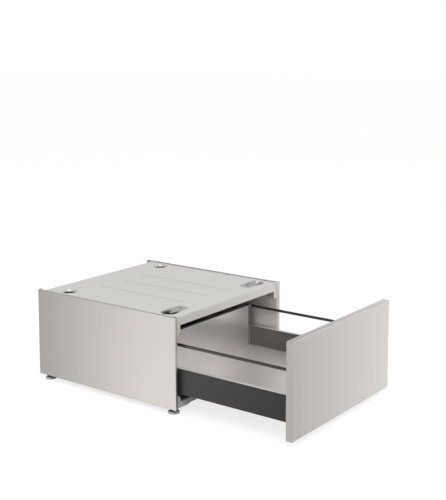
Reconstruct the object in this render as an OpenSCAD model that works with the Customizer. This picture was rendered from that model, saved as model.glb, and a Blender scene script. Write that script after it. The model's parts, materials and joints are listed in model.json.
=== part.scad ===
// Pedestal with a pull-out drawer, for standing a laundry machine on.
// Millimetres, +Z up, +X to the right, -Y towards the user. The origin is on the floor,
// under the middle of the whole object as it is drawn, with its drawer pulled out.

/* [Cabinet] */
// Width over the side panels
cab_w = 596; // [560:2:620]
// Depth of the side panels
cab_d = 620; // [600:5:660]
// Height of the side panels
cab_h = 303; // [295:1:320]
// Height of the panels' lower edge above the floor
foot_h = 18; // [16:1:20]
// Thickness of the panel sheet
sheet_t = 1.2; // [1.0:0.1:1.4]
// Thickness of the frame sheet
frame_t = 1.5; // [1.2:0.1:1.8]
// Width of the strip that the side panels fold round to the front
front_return = 10; // [8:1:12]
// Width of the flange that the side panels fold round to the back
rear_return = 18; // [12:1:20]
// Outer radius of the side panels' vertical bends
panel_bend = 4; // [3:0.5:5]
// Setback of the front frame behind the side panels' front
frame_recess = 6; // [4:1:8]
// Setback of the back panel from the side panels' rear edge
back_recess = 21.3; // [18:0.1:30]
// Drop of the top plate below the side panels' upper edge
top_drop = 3; // [2:0.5:4]
// Clear width between the inner sides
bay_w = 564; // [562:1:566]
// Height of the upper front rail's visible face
top_rail_h = 27.5; // [24:0.5:30]
// Height of the lower front rail's visible face
bottom_rail_h = 19; // [16:1:22]

/* [Appliance seats] */
// Distance between the left and right seats
seat_pitch_x = 490; // [460:5:500]
// Distance between the front and rear seats
seat_pitch_y = 452; // [430:2:460]
// Depth of the pressed dishes
seat_depth = 9.5; // [7:0.5:10]
// Radius of a dish at the top plate
seat_r = 30; // [26:1:32]
// Thickness of a rubber pad
pad_t = 3; // [2:0.5:4]

/* [Levelling feet] */
// Radius of a foot's pad
foot_r = 19; // [16:1:20]
// Radius of the threaded stem
stem_r = 5; // [4:0.5:6]
// Distance of the feet from the middle plane
foot_x = 273; // [268:1:274]
// Height of the stem's upper end
stem_top = 50; // [46:1:54]

/* [Drawer] */
// Distance that the drawer stands open
pull_out = 412; // [0:1:500]
// Gap between the closed front and the side panels
front_gap = 1.5; // [1.5:0.5:3]
// Width of the drawer front
front_w = 597; // [580:1:600]
// Height of the drawer front
front_h = 301; // [290:1:304]
// Thickness of the drawer front
front_t = 22; // [18:1:24]
// Height of the front's lower edge above the floor
front_z = 21; // [20:1:24]
// Length from the front's back face to the back wall
box_len = 523; // [510:1:530]
// Width over the drawer's side walls
box_w = 554; // [552:1:556]
// Width of a double side wall
wall_w = 19; // [18.8:0.1:20]
// Height of a side wall
wall_h = 82; // [76:1:84]
// Height of the side walls' lower edge above the floor
wall_z = 69; // [67:1:71]
// Height of the drawer floor's upper face above the floor
floor_z = 79.5; // [79:0.5:81]
// Height of the back wall's upper edge above the floor
back_top = 226; // [210:1:240]
// Diameter of the gallery rods
rod_d = 10; // [8:1:12]
// Height of the gallery rods' axis
rod_z = 224; // [210:1:238]
// Distance of the rods' axis from the middle plane
rod_x = 263.5; // [262:0.5:265]

/* [Slides] */
// Travel of the drawer from closed to fully open
travel = 500; // [480:10:520]
// Sheet thickness of the slide members
rail_t = 1.5; // [1.2:0.1:1.6]
// Half height of the drawer member
rail_half = 13; // [12:0.5:13]
// Height of the slides' middle line
rail_z = 98.5; // [98:0.5:99]
// Diameter of the balls
ball_d = 3; // [2.8:0.1:3]
// Clearance between a ball and its track
ball_gap = 0.05; // [0.03:0.01:0.08]
// Length of a ball cage
cage_len = 240; // [150:10:240]

/* [Hidden] */
$fn = 48;

LEFT = -1;
RIGHT = 1;
touch = 0.3;                    // gap left between neighbouring sheets
bend_r = 1;                     // inner radius of an ordinary fold
fold_steps = 5;                 // flats that make up one fold
over = 1;                       // how far a cutter runs past what it cuts

// places along Y: the cabinet's front edge, and the back face of the drawer front
whole_d = cab_d + front_gap + pull_out + front_t;
cab_y = -whole_d / 2 + front_t + pull_out + front_gap;
drawer_y = cab_y - front_gap - pull_out;

// cabinet
cab_top = foot_h + cab_h;
plate_z = cab_top - top_drop;               // upper face of the top plate
under_plate = plate_z - frame_t;            // what carries the plate ends here
frame_z = foot_h + 2;                       // lower edge of the frame
bay_x = bay_w / 2;
panel_x = cab_w / 2 - sheet_t;              // inner face of a side panel
return_x = cab_w / 2 - front_return;        // inner edge of the front strip
back_y = cab_d - back_recess - frame_t;     // front face of the back panel
rail_face = frame_recess + frame_t;         // back face of the front frame's sheet
floor_top = frame_z + bottom_rail_h;        // upper face of the lower rails
base_t = 1;
hem = 5;                                    // fold along the top of a side panel
seam = 6;                                   // from a panel's ends to where its corners begin
strip_return = 14;                          // depth of the front strip's inner leg
side_flange = 10;                           // flanges of the inner sides
inner_return = 14;                          // rear flange of the inner sides
edge_gap = 16;                              // from the front to where their long flanges begin
corner_hole = [36, 268];                    // place of the hole near the front upper corner, in Y and Z
corner_hole_r = 4;
nut_room = 15;                              // cut in the inner sides beside the rear feet's nuts

// front frame and cross rails
top_rail_d = 30;
bottom_rail_d = 34;
rail_lip = 10;
rail_rise = 3.5;                            // step under the middle of the lower front rail
cross_rail_w = 30;
cross_rail_z = 296;
cross_rail_y = [118, 440];

// pressed ribs of the top plate and beads of the back panel
press_h = 1.5;
press_slope = 3;
press_flange = 4;
rib_half = 13;
rib_len = 400;
rib_places = [-110, 0, 110];
bead_half = 11;
bead_len = 200;
bead_places = [-150, 0, 150];
plate_notch = 16;

// corner ears of the front frame
ear_x = bay_x - touch;
ear_w = 15.5;
ear_drop = 21;
ear_round = 3;

// feet
front_foot_y = 29;
rear_foot_y = cab_d - 31.4;
bracket_t = 3;
bracket_w = 60;
bracket_d = 52;
rear_bracket_y = back_y + frame_t - bracket_d;
nut_af = 17;
nut_h = 6;
weld_nut_h = 8;
foot_spots = [[LEFT, front_foot_y], [RIGHT, front_foot_y], [LEFT, rear_foot_y], [RIGHT, rear_foot_y]];

// appliance seats
seat_x = seat_pitch_x / 2;
seat_front_y = 68;
seat_rear_y = seat_front_y + seat_pitch_y;
clip_x = seat_x - 57;
clip_t = 2.5;
clip_w = 40;
clip_rise = 1;
clip_slot_r = 9;
m6_r = 3;

// screws
m4_r = 2;
head_r = 4;
head_h = 1.8;
screw_gap = 0.05;

// slides, in half heights about rail_z and in places along X
gap_z = ball_d + 2 * ball_gap;
middle_half = rail_half + gap_z + rail_t;
outer_half = middle_half + gap_z + rail_t;
wall_in = box_w / 2 - wall_w;               // inner face of a side wall
drawer_web = wall_in + sheet_t;
drawer_lip = drawer_web + 8.5;
middle_lip = drawer_web + 2.8;
middle_web = drawer_web + 10.1;
cabinet_lip = drawer_web + 5.3;
cabinet_web = drawer_web + 12.9;
cage_t = 0.6;
cage_gap = 0.35;                            // between a cage and the web behind it
ball_in = 3;                                // from a member's lip to the middle of the balls
cabinet_rail_len = 550;
middle_rail_len = 512;
drawer_rail_len = 516;
rail_front = 12;
rail_stop = 9;                              // half height of the stop at the cabinet member's rear end
rail_foot_z = 60.5;                         // where the cabinet member turns out to the inner side
cage_y = rail_front + 8 + travel / 4;       // cages' front ends with the drawer closed
ball_step = 24;

// drawer
wall_x = box_w / 2;
wall_top = wall_z + wall_h;
wall_len = box_len - 2;
front_sheet = 1;
arris = 2.5;
floor_t = 1;
floor_half = wall_in - 0.1;
foot_lip = 5.5;
lining_step = 2.5;                          // from a wall's outer face to its lining's edge
back_hem = 13;
back_lip = 6;
post_in = 254;
post_out = 268;
post_d = 16;
socket_len = 12;
socket_over = 2.5;                          // thickness of a socket round the rod
cap_len = 6;
rod_t = 1;
bracket_sheet = 2;
bumper_z = [40, 300];
bumper_x = cab_w / 2 - 5.5;
fixing_z = [130, 143];
fixing_x = drawer_web + 8;
fixing_head = 3.5;

// ---- folded sheet: an outline from the line of its outer corners ----

function unit(v) = v / norm(v);
function left_of(v) = [-v[1], v[0]];
function turned(v, a) = [v[0] * cos(a) - v[1] * sin(a), v[0] * sin(a) + v[1] * cos(a)];

// the same line moved to its left by t, with mitred corners
function beside(p, t) = [for (i = [0:len(p) - 1])
    let (a = unit(i > 0 ? p[i] - p[i - 1] : p[1] - p[0]),
         b = i < len(p) - 1 ? unit(p[i + 1] - p[i]) : a,
         n = left_of(a) + left_of(b))
    p[i] + n * 2 * t / (n * n)];

// a corner p between a and b, rounded to radius r
function rounded(a, p, b, r) =
    let (u = unit(p - a), v = unit(b - p), s = sign(cross(u, v)),
         bend = acos(max(-1, min(1, u * v))), n = s * left_of(u),
         c = p - u * r * tan(bend / 2) + n * r)
    [for (k = [0:fold_steps]) c - turned(n, s * bend * k / fold_steps) * r];

// closed outline of a strip of thickness t to the left of the line p, with inner fold radius r
function folded(p, t, r) =
    let (q = beside(p, t), last = len(p) - 1,
         left_turn = [for (i = [1:last - 1]) cross(p[i] - p[i - 1], p[i + 1] - p[i]) > 0])
    concat([p[0]],
        [for (i = [1:last - 1]) each rounded(p[i - 1], p[i], p[i + 1], left_turn[i - 1] ? r + t : r)],
        [p[last], q[last]],
        [for (i = [last - 1:-1:1]) each rounded(q[i + 1], q[i], q[i - 1], left_turn[i - 1] ? r : r + t)],
        [q[0]]);

// closed outline with every corner rounded to radius r
function softened(p, r) = [for (i = [0:len(p) - 1])
    each rounded(p[(i + len(p) - 1) % len(p)], p[i], p[(i + 1) % len(p)], r)];

module sheet(line, t = sheet_t, r = bend_r) polygon(folded(line, t, r));

// ---- placing ----

module at_cabinet() translate([0, cab_y, 0]) children();
module at_drawer() translate([0, drawer_y, 0]) children();
// a slide member that has moved by this share of the drawer's way
module at_share(share) translate([0, cab_y - share * pull_out, 0]) children();
module on_side(s) mirror([s < 0 ? 1 : 0, 0, 0]) children();
module both_sides() for (s = [LEFT, RIGHT]) on_side(s) children();
// an outline in X and Z, carried from y0 along Y
module along_y(y0, length) translate([0, y0 + length, 0]) rotate([90, 0, 0])
    linear_extrude(length) children();
// an outline in Y and Z, carried along X, centred
module across(length) translate([-length / 2, 0, 0]) rotate([90, 0, 90]) linear_extrude(length) children();
// an outline in X and Y, carried up from z0
module upwards(z0, height) translate([0, 0, z0]) linear_extrude(height) children();
// a block between two corners
module block(a, b) translate(a) cube(b - a);
// a round hole or bar, from the point p along an axis
module bar(p, r, length, axis = "z") translate(p)
    rotate(axis == "x" ? [0, 90, 0] : axis == "y" ? [-90, 0, 0] : [0, 0, 0]) cylinder(r = r, h = length);
// a pan-head screw with its head on the plane z = 0 and its shank going down
module pan_screw(r, length, head = head_r, height = head_h) {
    translate([0, 0, -length]) cylinder(r = r, h = length);
    rotate_extrude() polygon([[0, 0], [head, 0], [head, height * 0.45], [head * 0.7, height], [0, height]]);
}
// a slot-shaped outline along Y
module stadium(w, length) {
    square([w, length - w], center = true);
    for (e = [-1, 1]) translate([0, e * (length - w) / 2]) circle(d = w);
}

// a rib pressed up out of a sheet whose upper face is z = 0: a hat profile along Y with turned ends
module pressed_rib(half, length) {
    foot = half + press_flange;
    crown = half - press_slope;
    straight = length - 2 * half;
    rise = press_h - frame_t;
    along_y(-straight / 2, straight) sheet([[-foot, -frame_t], [-half, -frame_t], [-crown, rise],
        [crown, rise], [half, -frame_t], [foot, -frame_t]], frame_t);
    for (e = [0, 180]) rotate(e) translate([0, straight / 2, 0]) rotate_extrude(angle = 180)
        polygon(folded([[0, rise], [crown, rise], [half, -frame_t], [foot, -frame_t]], frame_t, bend_r));
}
// the opening that such a rib closes
module rib_opening(half, length) stadium(2 * half + 2 * press_flange - 2, length + 2 * press_flange - 2);

// ---- screw places, each as [x, y, z] on the right side ----

plate_screw_y = [60, 230, 400, 560];
plate_screws = [for (y = plate_screw_y) [bay_x + 5, y, plate_z]];
panel_screws = [for (y = [120, 320, 520]) [bay_x + 6, y, foot_h]];
back_screws = [for (z = [60, 130, 200, 270]) [bay_x - 7, back_y + frame_t, z]];
slide_screws = [for (y = [50, 170, 290, 410, 530]) [bay_x - rail_t, y, 52]];

// ---- cabinet shell ----

// one folded sheet: the wall with its turned-in foot and hem, and the corners at its two ends
module side_panel(s) color("silver") at_cabinet() on_side(s) difference() {
    union() {
        along_y(seam, cab_d - 2 * seam) sheet([[bay_x + 2, foot_h], [cab_w / 2, foot_h],
            [cab_w / 2, cab_top], [panel_x - hem, cab_top]]);
        upwards(foot_h, cab_h) sheet([[return_x, strip_return], [return_x, 0],
            [cab_w / 2, 0], [cab_w / 2, seam]], sheet_t, panel_bend - sheet_t);
        upwards(foot_h, cab_h) sheet([[cab_w / 2, cab_d - seam], [cab_w / 2, cab_d],
            [cab_w / 2 - rear_return, cab_d]], sheet_t, panel_bend - sheet_t);
    }
    for (p = panel_screws) bar(p - [0, 0, over], m4_r + screw_gap, sheet_t + 2 * over);
}

module inner_side(s) color("lightgray") at_cabinet() on_side(s) difference() {
    union() {
        upwards(frame_z, under_plate - frame_z) sheet([[bay_x - inner_return, back_y - sheet_t],
            [bay_x, back_y - sheet_t], [bay_x, frame_recess], [return_x - touch, frame_recess]]);
        for (z = [frame_z, under_plate - sheet_t])
            block([bay_x + sheet_t / 2, edge_gap, z], [bay_x + side_flange, back_y - 4, z + sheet_t]);
    }
    // room for the rear foot's nuts, and the hole by the front upper corner
    block([bay_x - nut_room, back_y - 10, frame_z - over], [bay_x, back_y + over, floor_top]);
    bar([bay_x - over, corner_hole[0], corner_hole[1]], corner_hole_r, sheet_t + 2 * over, "x");
    for (p = slide_screws) bar(p, m4_r + screw_gap, 10, "x");
    for (p = back_screws) bar(p - [0, 10, 0], m4_r + screw_gap, 12, "y");
    for (p = plate_screws) bar(p - [0, 0, 10], m4_r + screw_gap, 12);
    for (p = panel_screws) bar(p, m4_r + screw_gap, 10);
}

module seat_dish() rotate_extrude($fn = 96) polygon(folded([[0, -frame_t - seat_depth],
    [seat_r - 4, -frame_t - seat_depth], [seat_r, -frame_t], [seat_r + 4, -frame_t]], frame_t, bend_r));

module top_plate() color("silver") at_cabinet() {
    rib_y = (seat_front_y + seat_rear_y) / 2;
    front_x = return_x - touch;
    edge_x = panel_x - touch;
    rear = cab_d - back_recess;
    difference() {
        upwards(under_plate, frame_t) polygon([[-front_x, frame_recess], [front_x, frame_recess],
            [front_x, plate_notch], [edge_x, plate_notch], [edge_x, rear],
            [-edge_x, rear], [-edge_x, plate_notch], [-front_x, plate_notch]]);
        for (x = rib_places) translate([x, rib_y, 0])
            upwards(under_plate - over, frame_t + 2 * over) rib_opening(rib_half, rib_len);
        both_sides() for (y = [seat_front_y, seat_rear_y]) {
            bar([seat_x, y, under_plate - over], seat_r + 3, frame_t + 2 * over);
            bar([clip_x, y, under_plate - over], m6_r + screw_gap, frame_t + 2 * over);
        }
        both_sides() for (p = plate_screws) bar(p - [0, 0, 3], m4_r + screw_gap, 4);
    }
    for (x = rib_places) translate([x, rib_y, plate_z]) pressed_rib(rib_half, rib_len);
    both_sides() for (y = [seat_front_y, seat_rear_y]) translate([seat_x, y, plate_z]) seat_dish();
}

module foot_seat_pads() color("dimgray") at_cabinet() {
    pad_r = seat_r - 6;
    both_sides() for (y = [seat_front_y, seat_rear_y]) translate([seat_x, y, plate_z - seat_depth])
        rotate_extrude() polygon([[0, 0], [pad_r, 0], [pad_r, pad_t - 1], [pad_r - 1, pad_t], [0, pad_t]]);
}

// a strap screwed to the plate, with a slot that a foot of the machine is pushed into
module foot_clip(s) color("gainsboro") at_cabinet() on_side(s) difference() {
    slot_y = [seat_front_y - clip_slot_r, seat_front_y + clip_slot_r];
    along_y(seat_front_y - clip_w / 2, clip_w) sheet([[clip_x - 16, plate_z], [clip_x + 20, plate_z],
        [clip_x + 23, plate_z + clip_rise], [seat_x + 12, plate_z + clip_rise]], clip_t);
    bar([seat_x, seat_front_y, plate_z], clip_slot_r, clip_t + 2 * over);
    block([seat_x, slot_y[0], plate_z], [seat_x + 20, slot_y[1], plate_z + 6]);
    bar([clip_x, seat_front_y, plate_z - over], m6_r + screw_gap, clip_t + 2 * over);
}

module foot_clip_screws() color("gray") at_cabinet() both_sides()
    translate([clip_x, seat_front_y, plate_z + clip_t]) pan_screw(m6_r, 12, 7, 1.5);

// a corner ear of the front frame: an outline in X and Z, hanging from z
module hanging_ear(z) translate([0, z]) polygon(softened([[ear_x, 12], [ear_x, -ear_drop - 8],
    [bay_x - ear_w, -ear_drop], [bay_x - ear_w, 12]], ear_round));
module standing_ear(z) translate([0, z]) polygon(softened([[ear_x, -12], [ear_x, ear_drop],
    [ear_x - 7, ear_drop], [bay_x - ear_w, 9], [bay_x - ear_w, -12]], ear_round));

module top_front_rail() color("silver") at_cabinet() {
    low = under_plate - top_rail_h;
    across(2 * ear_x) sheet([[top_rail_d, under_plate], [frame_recess, under_plate],
        [frame_recess, low], [top_rail_d, low]], frame_t);
    both_sides() along_y(frame_recess, frame_t) hanging_ear(low);
}

module bottom_front_rail() color("silver") at_cabinet() {
    step_x = bay_x - bracket_w;
    raised = frame_z + rail_rise;
    along_y(frame_recess, frame_t) polygon([[-ear_x, frame_z], [-step_x, frame_z], [-step_x, raised],
        [step_x, raised], [step_x, frame_z], [ear_x, frame_z], [ear_x, floor_top], [-ear_x, floor_top]]);
    both_sides() along_y(frame_recess, frame_t) standing_ear(floor_top);
    across(2 * step_x - 2 * touch) sheet([[bottom_rail_d, floor_top - rail_lip], [bottom_rail_d, floor_top],
        [frame_recess, floor_top], [frame_recess, raised]], frame_t);
}

// a hat-shaped rail on its back, with its flanges under the top plate
module cross_rail(y) color("lightgray") at_cabinet() translate([0, y, 0]) across(2 * ear_x) {
    flange_z = under_plate - frame_t;
    sheet([[-rail_lip, flange_z], [0, flange_z], [0, cross_rail_z], [cross_rail_w, cross_rail_z],
        [cross_rail_w, flange_z], [cross_rail_w + rail_lip, flange_z]], frame_t);
}

module rear_bottom_rail() color("lightgray") at_cabinet() across(bay_w - 2 * bracket_w - 2 * touch)
    sheet([[back_y, frame_z], [back_y, floor_top], [back_y - 28, floor_top],
        [back_y - 28, floor_top - rail_lip]], frame_t);

module back_panel() color("silver") at_cabinet() {
    middle = (floor_top + under_plate) / 2;
    rear = back_y + frame_t;
    difference() {
        block([-ear_x, back_y, floor_top], [ear_x, rear, under_plate]);
        for (x = bead_places) translate([x, rear + over, middle]) rotate([90, 0, 0])
            linear_extrude(frame_t + 2 * over) rib_opening(bead_half, bead_len);
        both_sides() for (p = back_screws) bar(p - [0, 3, 0], m4_r + screw_gap, 4, "y");
    }
    for (x = bead_places) translate([x, rear, middle]) rotate([-90, 0, 0]) pressed_rib(bead_half, bead_len);
}

module base_plate() color("lightgray") at_cabinet() difference() {
    block([-bay_x + touch, 10, floor_top], [bay_x - touch, back_y - sheet_t - touch, floor_top + base_t]);
    for (f = foot_spots) bar([f[0] * foot_x, f[1], floor_top - over], stem_r + 3, base_t + 2 * over);
}

module cabinet_screws() color("gray") at_cabinet() both_sides() {
    for (p = plate_screws) translate(p) pan_screw(m4_r, 8);
    for (p = panel_screws) translate(p) rotate([180, 0, 0]) pan_screw(m4_r, 8);
    for (p = back_screws) translate(p) rotate([-90, 0, 0]) pan_screw(m4_r, 8);
}

// ---- feet ----

// a bracket in the cabinet's corner, from y0 back, with a welded nut over the foot
module foot_bracket(s, y0, foot_y) color("lightgray") at_cabinet() on_side(s) difference() {
    x0 = bay_x - bracket_w;
    union() {
        along_y(y0, bracket_d) sheet([[bay_x - touch, floor_top], [x0, floor_top], [x0, frame_z]], bracket_t);
        // the welded nut
        translate([foot_x, foot_y, floor_top - bracket_t - weld_nut_h]) rotate(30)
            cylinder(d = nut_af / cos(30), h = weld_nut_h + bracket_t / 2, $fn = 6);
    }
    bar([foot_x, foot_y, frame_z - over], stem_r + screw_gap, 30);
}

module lock_nuts() color("gray") at_cabinet() for (f = foot_spots)
    translate([f[0] * foot_x, f[1], floor_top - bracket_t - weld_nut_h - nut_h]) difference() {
        rotate(30) cylinder(d = nut_af / cos(30), h = nut_h, $fn = 6);
        bar([0, 0, -over], stem_r + screw_gap, nut_h + 2 * over);
    }

module foot_stem(s, y) color("dimgray") at_cabinet() translate([s * foot_x, y, 0]) rotate_extrude()
    polygon([[0, 6], [9, 6], [14, 8], [14, 11], [12, 12], [stem_r, 12],
        [stem_r, stem_top - 1], [stem_r - 1, stem_top], [0, stem_top]]);

module foot_pad(s, y) color("gainsboro") at_cabinet() translate([s * foot_x, y, 0]) rotate_extrude()
    polygon([[0, 0], [foot_r - 1, 0], [foot_r, 1], [foot_r, 4.5], [foot_r - 2.5, 6.5],
        [15, 7], [14.2, 7], [9, 6], [0, 6]]);

// ---- slides, drawn for the right side about the height rail_z ----

// a C-shaped member: web at x = web, lips towards x = lip, between half heights
module member(web, lip, half, y0, length) {
    way = lip > web ? 1 : -1;
    translate([0, 0, rail_z]) along_y(y0, length)
        sheet(way > 0 ? [[lip, half], [web, half], [web, -half], [lip, -half]]
            : [[lip, -half], [web, -half], [web, half], [lip, half]], rail_t, 0.5);
}

module cabinet_rail(s) color("darkgray") at_cabinet() on_side(s) difference() {
    union() {
        member(cabinet_web + rail_t, cabinet_lip, outer_half, rail_front, cabinet_rail_len);
        along_y(rail_front, cabinet_rail_len) sheet([[cabinet_web, rail_z], [cabinet_web, rail_foot_z],
            [bay_x - rail_t, rail_foot_z], [bay_x - rail_t, rail_foot_z - 18.5]], rail_t, 0.5);
        // a tab across the rear end, which the balls and the middle member can't pass
        block([cabinet_lip, rail_front + cabinet_rail_len - rail_t, rail_z - rail_stop],
            [cabinet_web + rail_t / 2, rail_front + cabinet_rail_len, rail_z + rail_stop]);
    }
    for (p = slide_screws) bar(p - [over, 0, 0], m4_r + screw_gap, 4, "x");
}

module middle_rail(s) color("gainsboro") at_share(0.5) on_side(s)
    member(middle_web + rail_t, middle_lip, middle_half, rail_front + 2, middle_rail_len);

module drawer_rail(s) color("darkgray") at_drawer() on_side(s)
    member(drawer_web, drawer_lip, rail_half, 4, drawer_rail_len);

// a row of balls above and below, held in a thin cage between a member's web and its lip
module ball_cage(s, share, web, lip, half) color("goldenrod") at_share(share) on_side(s) {
    track = half + gap_z / 2;
    edge = track + cage_t / 2;
    back = web - cage_gap;
    front = lip + ball_in - 2;
    translate([0, 0, rail_z]) {
        along_y(cage_y, cage_len)
            sheet([[front, -edge], [back, -edge], [back, edge], [front, edge]], cage_t, 0.2);
        for (z = [-track, track], y = [cage_y + ball_step / 2:ball_step:cage_y + cage_len - 2])
            translate([lip + ball_in, y, z]) sphere(d = ball_d, $fn = 24);
    }
}

module outer_ball_cage(s) ball_cage(s, 0.25, cabinet_web, cabinet_lip, middle_half);
module inner_ball_cage(s) ball_cage(s, 0.75, middle_web, middle_lip, rail_half);

module rail_screws() color("gray") at_cabinet() both_sides() for (p = slide_screws)
    translate(p) rotate([0, -90, 0]) pan_screw(m4_r, 8);

// ---- drawer front ----

// a board of the front's outline, drawn in from its faces by d, with a soft arris at the front
module front_board(d, y1) {
    soft = max(arris - d, 0.5);
    x = front_w / 2 - d;
    z0 = front_z + d;
    z1 = front_z + front_h - d;
    y0 = -front_t + d;
    intersection() {
        upwards(z0, z1 - z0) polygon(concat([[x, y1], [-x, y1]], rounded([-x, y1], [-x, y0], [x, y0], soft),
            rounded([-x, y0], [x, y0], [x, y1], soft)));
        across(2 * x) polygon(concat([[y1, z0], [y1, z1]], rounded([y1, z1], [y0, z1], [y0, z0], soft),
            rounded([y0, z1], [y0, z0], [y1, z0], soft)));
    }
}

module front_skin() color("silver") at_drawer() difference() {
    front_board(0, 0);
    front_board(front_sheet, over);
}
module front_core() color("burlywood") at_drawer() front_board(front_sheet, -sheet_t);
module front_inner_plate() color("silver") at_drawer() {
    x = front_w / 2 - front_sheet;
    block([-x, -sheet_t, front_z + front_sheet], [x, 0, front_z + front_h - front_sheet]);
}

module front_bumpers() color("dimgray") at_drawer() both_sides() for (z = bumper_z)
    translate([bumper_x, 0, z]) rotate([-90, 0, 0]) cylinder(r1 = 4, r2 = 3.2, h = front_gap - touch);

// an angle inside a side wall, above the slide
module front_bracket(s) color("darkgray") at_drawer() on_side(s) difference() {
    low = rail_z + outer_half + 3;
    high = wall_top - 2 * sheet_t - touch;
    x = wall_x - sheet_t - touch;
    upwards(low, high - low) sheet([[drawer_web + touch, 0], [x, 0], [x, 60]], bracket_sheet, 0.5);
    for (z = fixing_z) bar([fixing_x, -over, z], m4_r + screw_gap, 5, "y");
}

module front_fixing_screws() color("gray") at_drawer() both_sides() for (z = fixing_z)
    translate([fixing_x, bracket_sheet, z]) rotate([-90, 0, 0]) pan_screw(m4_r, bracket_sheet, fixing_head);

// ---- drawer box ----

// the outer skin of a double side wall, with a flange along its top
module drawer_wall(s) color("#3f3f3c") at_drawer() on_side(s) along_y(0, wall_len)
    sheet([[wall_x, wall_z], [wall_x, wall_top - sheet_t], [wall_in + 2 * sheet_t, wall_top - sheet_t]]);

// the inner skin, which lies on that flange and turns in at its foot to carry the floor
module wall_lining(s) color("#8a8885") at_drawer() on_side(s) along_y(0, wall_len)
    sheet([[wall_x - lining_step, wall_top], [wall_in, wall_top], [wall_in, floor_z + sheet_t],
        [wall_in - foot_lip, floor_z + sheet_t]]);

module drawer_floor() color("silver") at_drawer() along_y(touch, box_len - 2 * touch)
    sheet([[floor_half, wall_z + 1], [floor_half, floor_z],
        [-floor_half, floor_z], [-floor_half, wall_z + 1]], floor_t);

module drawer_back() color("silver") at_drawer() across(2 * (post_in - touch))
    sheet([[box_len + back_hem, back_top - back_lip], [box_len + back_hem, back_top],
        [box_len, back_top], [box_len, wall_z + 1]]);

// the post behind a side wall, cut away where the slide runs past it
module rear_bracket(s) color("#5a5a58") at_drawer() on_side(s) difference() {
    low = floor_z + sheet_t + touch;
    rear = wall_len + post_d;
    upwards(low, rod_z + rod_d / 2 - low)
        sheet([[post_in, rear], [post_in, wall_len], [post_out, wall_len], [post_out, rear]], frame_t);
    block([middle_lip - 1, wall_len - over, floor_z],
        [post_out + over, rear + over, rail_z + outer_half + 1.8]);
}

module gallery_rod(s) color("gainsboro") at_drawer() translate([s * rod_x, 2, rod_z]) difference() {
    bar([0, 0, 0], rod_d / 2, wall_len - 4, "y");
    bar([0, -over, 0], rod_d / 2 - rod_t, wall_len, "y");
}

// a cup round a rod's end, with the plug that fills the tube, open towards +Y
module rod_end(cup_r, cup_len, plug_len) {
    difference() {
        bar([0, 0, 0], cup_r, cup_len, "y");
        bar([0, 2, 0], rod_d / 2 + screw_gap, cup_len, "y");
    }
    bar([0, 1, 0], rod_d / 2 - rod_t - screw_gap, plug_len, "y");
}

module rod_front_sockets() color("gray") at_drawer() for (s = [LEFT, RIGHT])
    translate([s * rod_x, 0, rod_z]) rod_end(rod_d / 2 + socket_over, socket_len, socket_len - 1);

module rod_rear_caps() color("gray") at_drawer() for (s = [LEFT, RIGHT])
    translate([s * rod_x, wall_len, rod_z]) rotate(180) rod_end(rod_d / 2 + rod_t, cap_len, cap_len + 2);

side_panel(LEFT);  // left_side_panel
side_panel(RIGHT);  // right_side_panel
inner_side(LEFT);  // left_inner_side
inner_side(RIGHT);  // right_inner_side
top_plate();
foot_seat_pads();
foot_clip(LEFT);  // left_foot_clip
foot_clip(RIGHT);  // right_foot_clip
foot_clip_screws();
top_front_rail();
bottom_front_rail();
cross_rail(cross_rail_y[0]);  // front_cross_rail
cross_rail(cross_rail_y[1]);  // rear_cross_rail
rear_bottom_rail();
back_panel();
base_plate();
cabinet_screws();
foot_bracket(LEFT, rail_face, front_foot_y);  // front_left_foot_bracket
foot_bracket(RIGHT, rail_face, front_foot_y);  // front_right_foot_bracket
foot_bracket(LEFT, rear_bracket_y, rear_foot_y);  // rear_left_foot_bracket
foot_bracket(RIGHT, rear_bracket_y, rear_foot_y);  // rear_right_foot_bracket
lock_nuts();
foot_stem(LEFT, front_foot_y);  // front_left_foot_stem
foot_stem(RIGHT, front_foot_y);  // front_right_foot_stem
foot_stem(LEFT, rear_foot_y);  // rear_left_foot_stem
foot_stem(RIGHT, rear_foot_y);  // rear_right_foot_stem
foot_pad(LEFT, front_foot_y);  // front_left_foot_pad
foot_pad(RIGHT, front_foot_y);  // front_right_foot_pad
foot_pad(LEFT, rear_foot_y);  // rear_left_foot_pad
foot_pad(RIGHT, rear_foot_y);  // rear_right_foot_pad
cabinet_rail(LEFT);  // left_cabinet_rail
cabinet_rail(RIGHT);  // right_cabinet_rail
rail_screws();
outer_ball_cage(LEFT);  // left_outer_ball_cage
outer_ball_cage(RIGHT);  // right_outer_ball_cage
middle_rail(LEFT);  // left_middle_rail
middle_rail(RIGHT);  // right_middle_rail
inner_ball_cage(LEFT);  // left_inner_ball_cage
inner_ball_cage(RIGHT);  // right_inner_ball_cage
drawer_rail(LEFT);  // left_drawer_rail
drawer_rail(RIGHT);  // right_drawer_rail
front_skin();
front_core();
front_inner_plate();
front_bumpers();
front_fixing_screws();
front_bracket(LEFT);  // left_front_bracket
front_bracket(RIGHT);  // right_front_bracket
drawer_wall(LEFT);  // left_drawer_wall
drawer_wall(RIGHT);  // right_drawer_wall
wall_lining(LEFT);  // left_wall_lining
wall_lining(RIGHT);  // right_wall_lining
drawer_floor();
drawer_back();
rear_bracket(LEFT);  // left_rear_bracket
rear_bracket(RIGHT);  // right_rear_bracket
gallery_rod(LEFT);  // left_gallery_rod
gallery_rod(RIGHT);  // right_gallery_rod
rod_front_sockets();
rod_rear_caps();
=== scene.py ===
# %% [markdown]
# # A steel pedestal with a pull-out drawer
# The object is a low, strong cabinet of folded sheet steel that lifts what is put on it, with one
# wide drawer on ball slides. Its construction is fixed: every piece arrives at its real size and
# place. What is made here is its look: soft folds, satin grain, chrome, plastic and rubber, and the
# light. Each step says what a piece is, and why it is made in this way.

import json
import math

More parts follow.
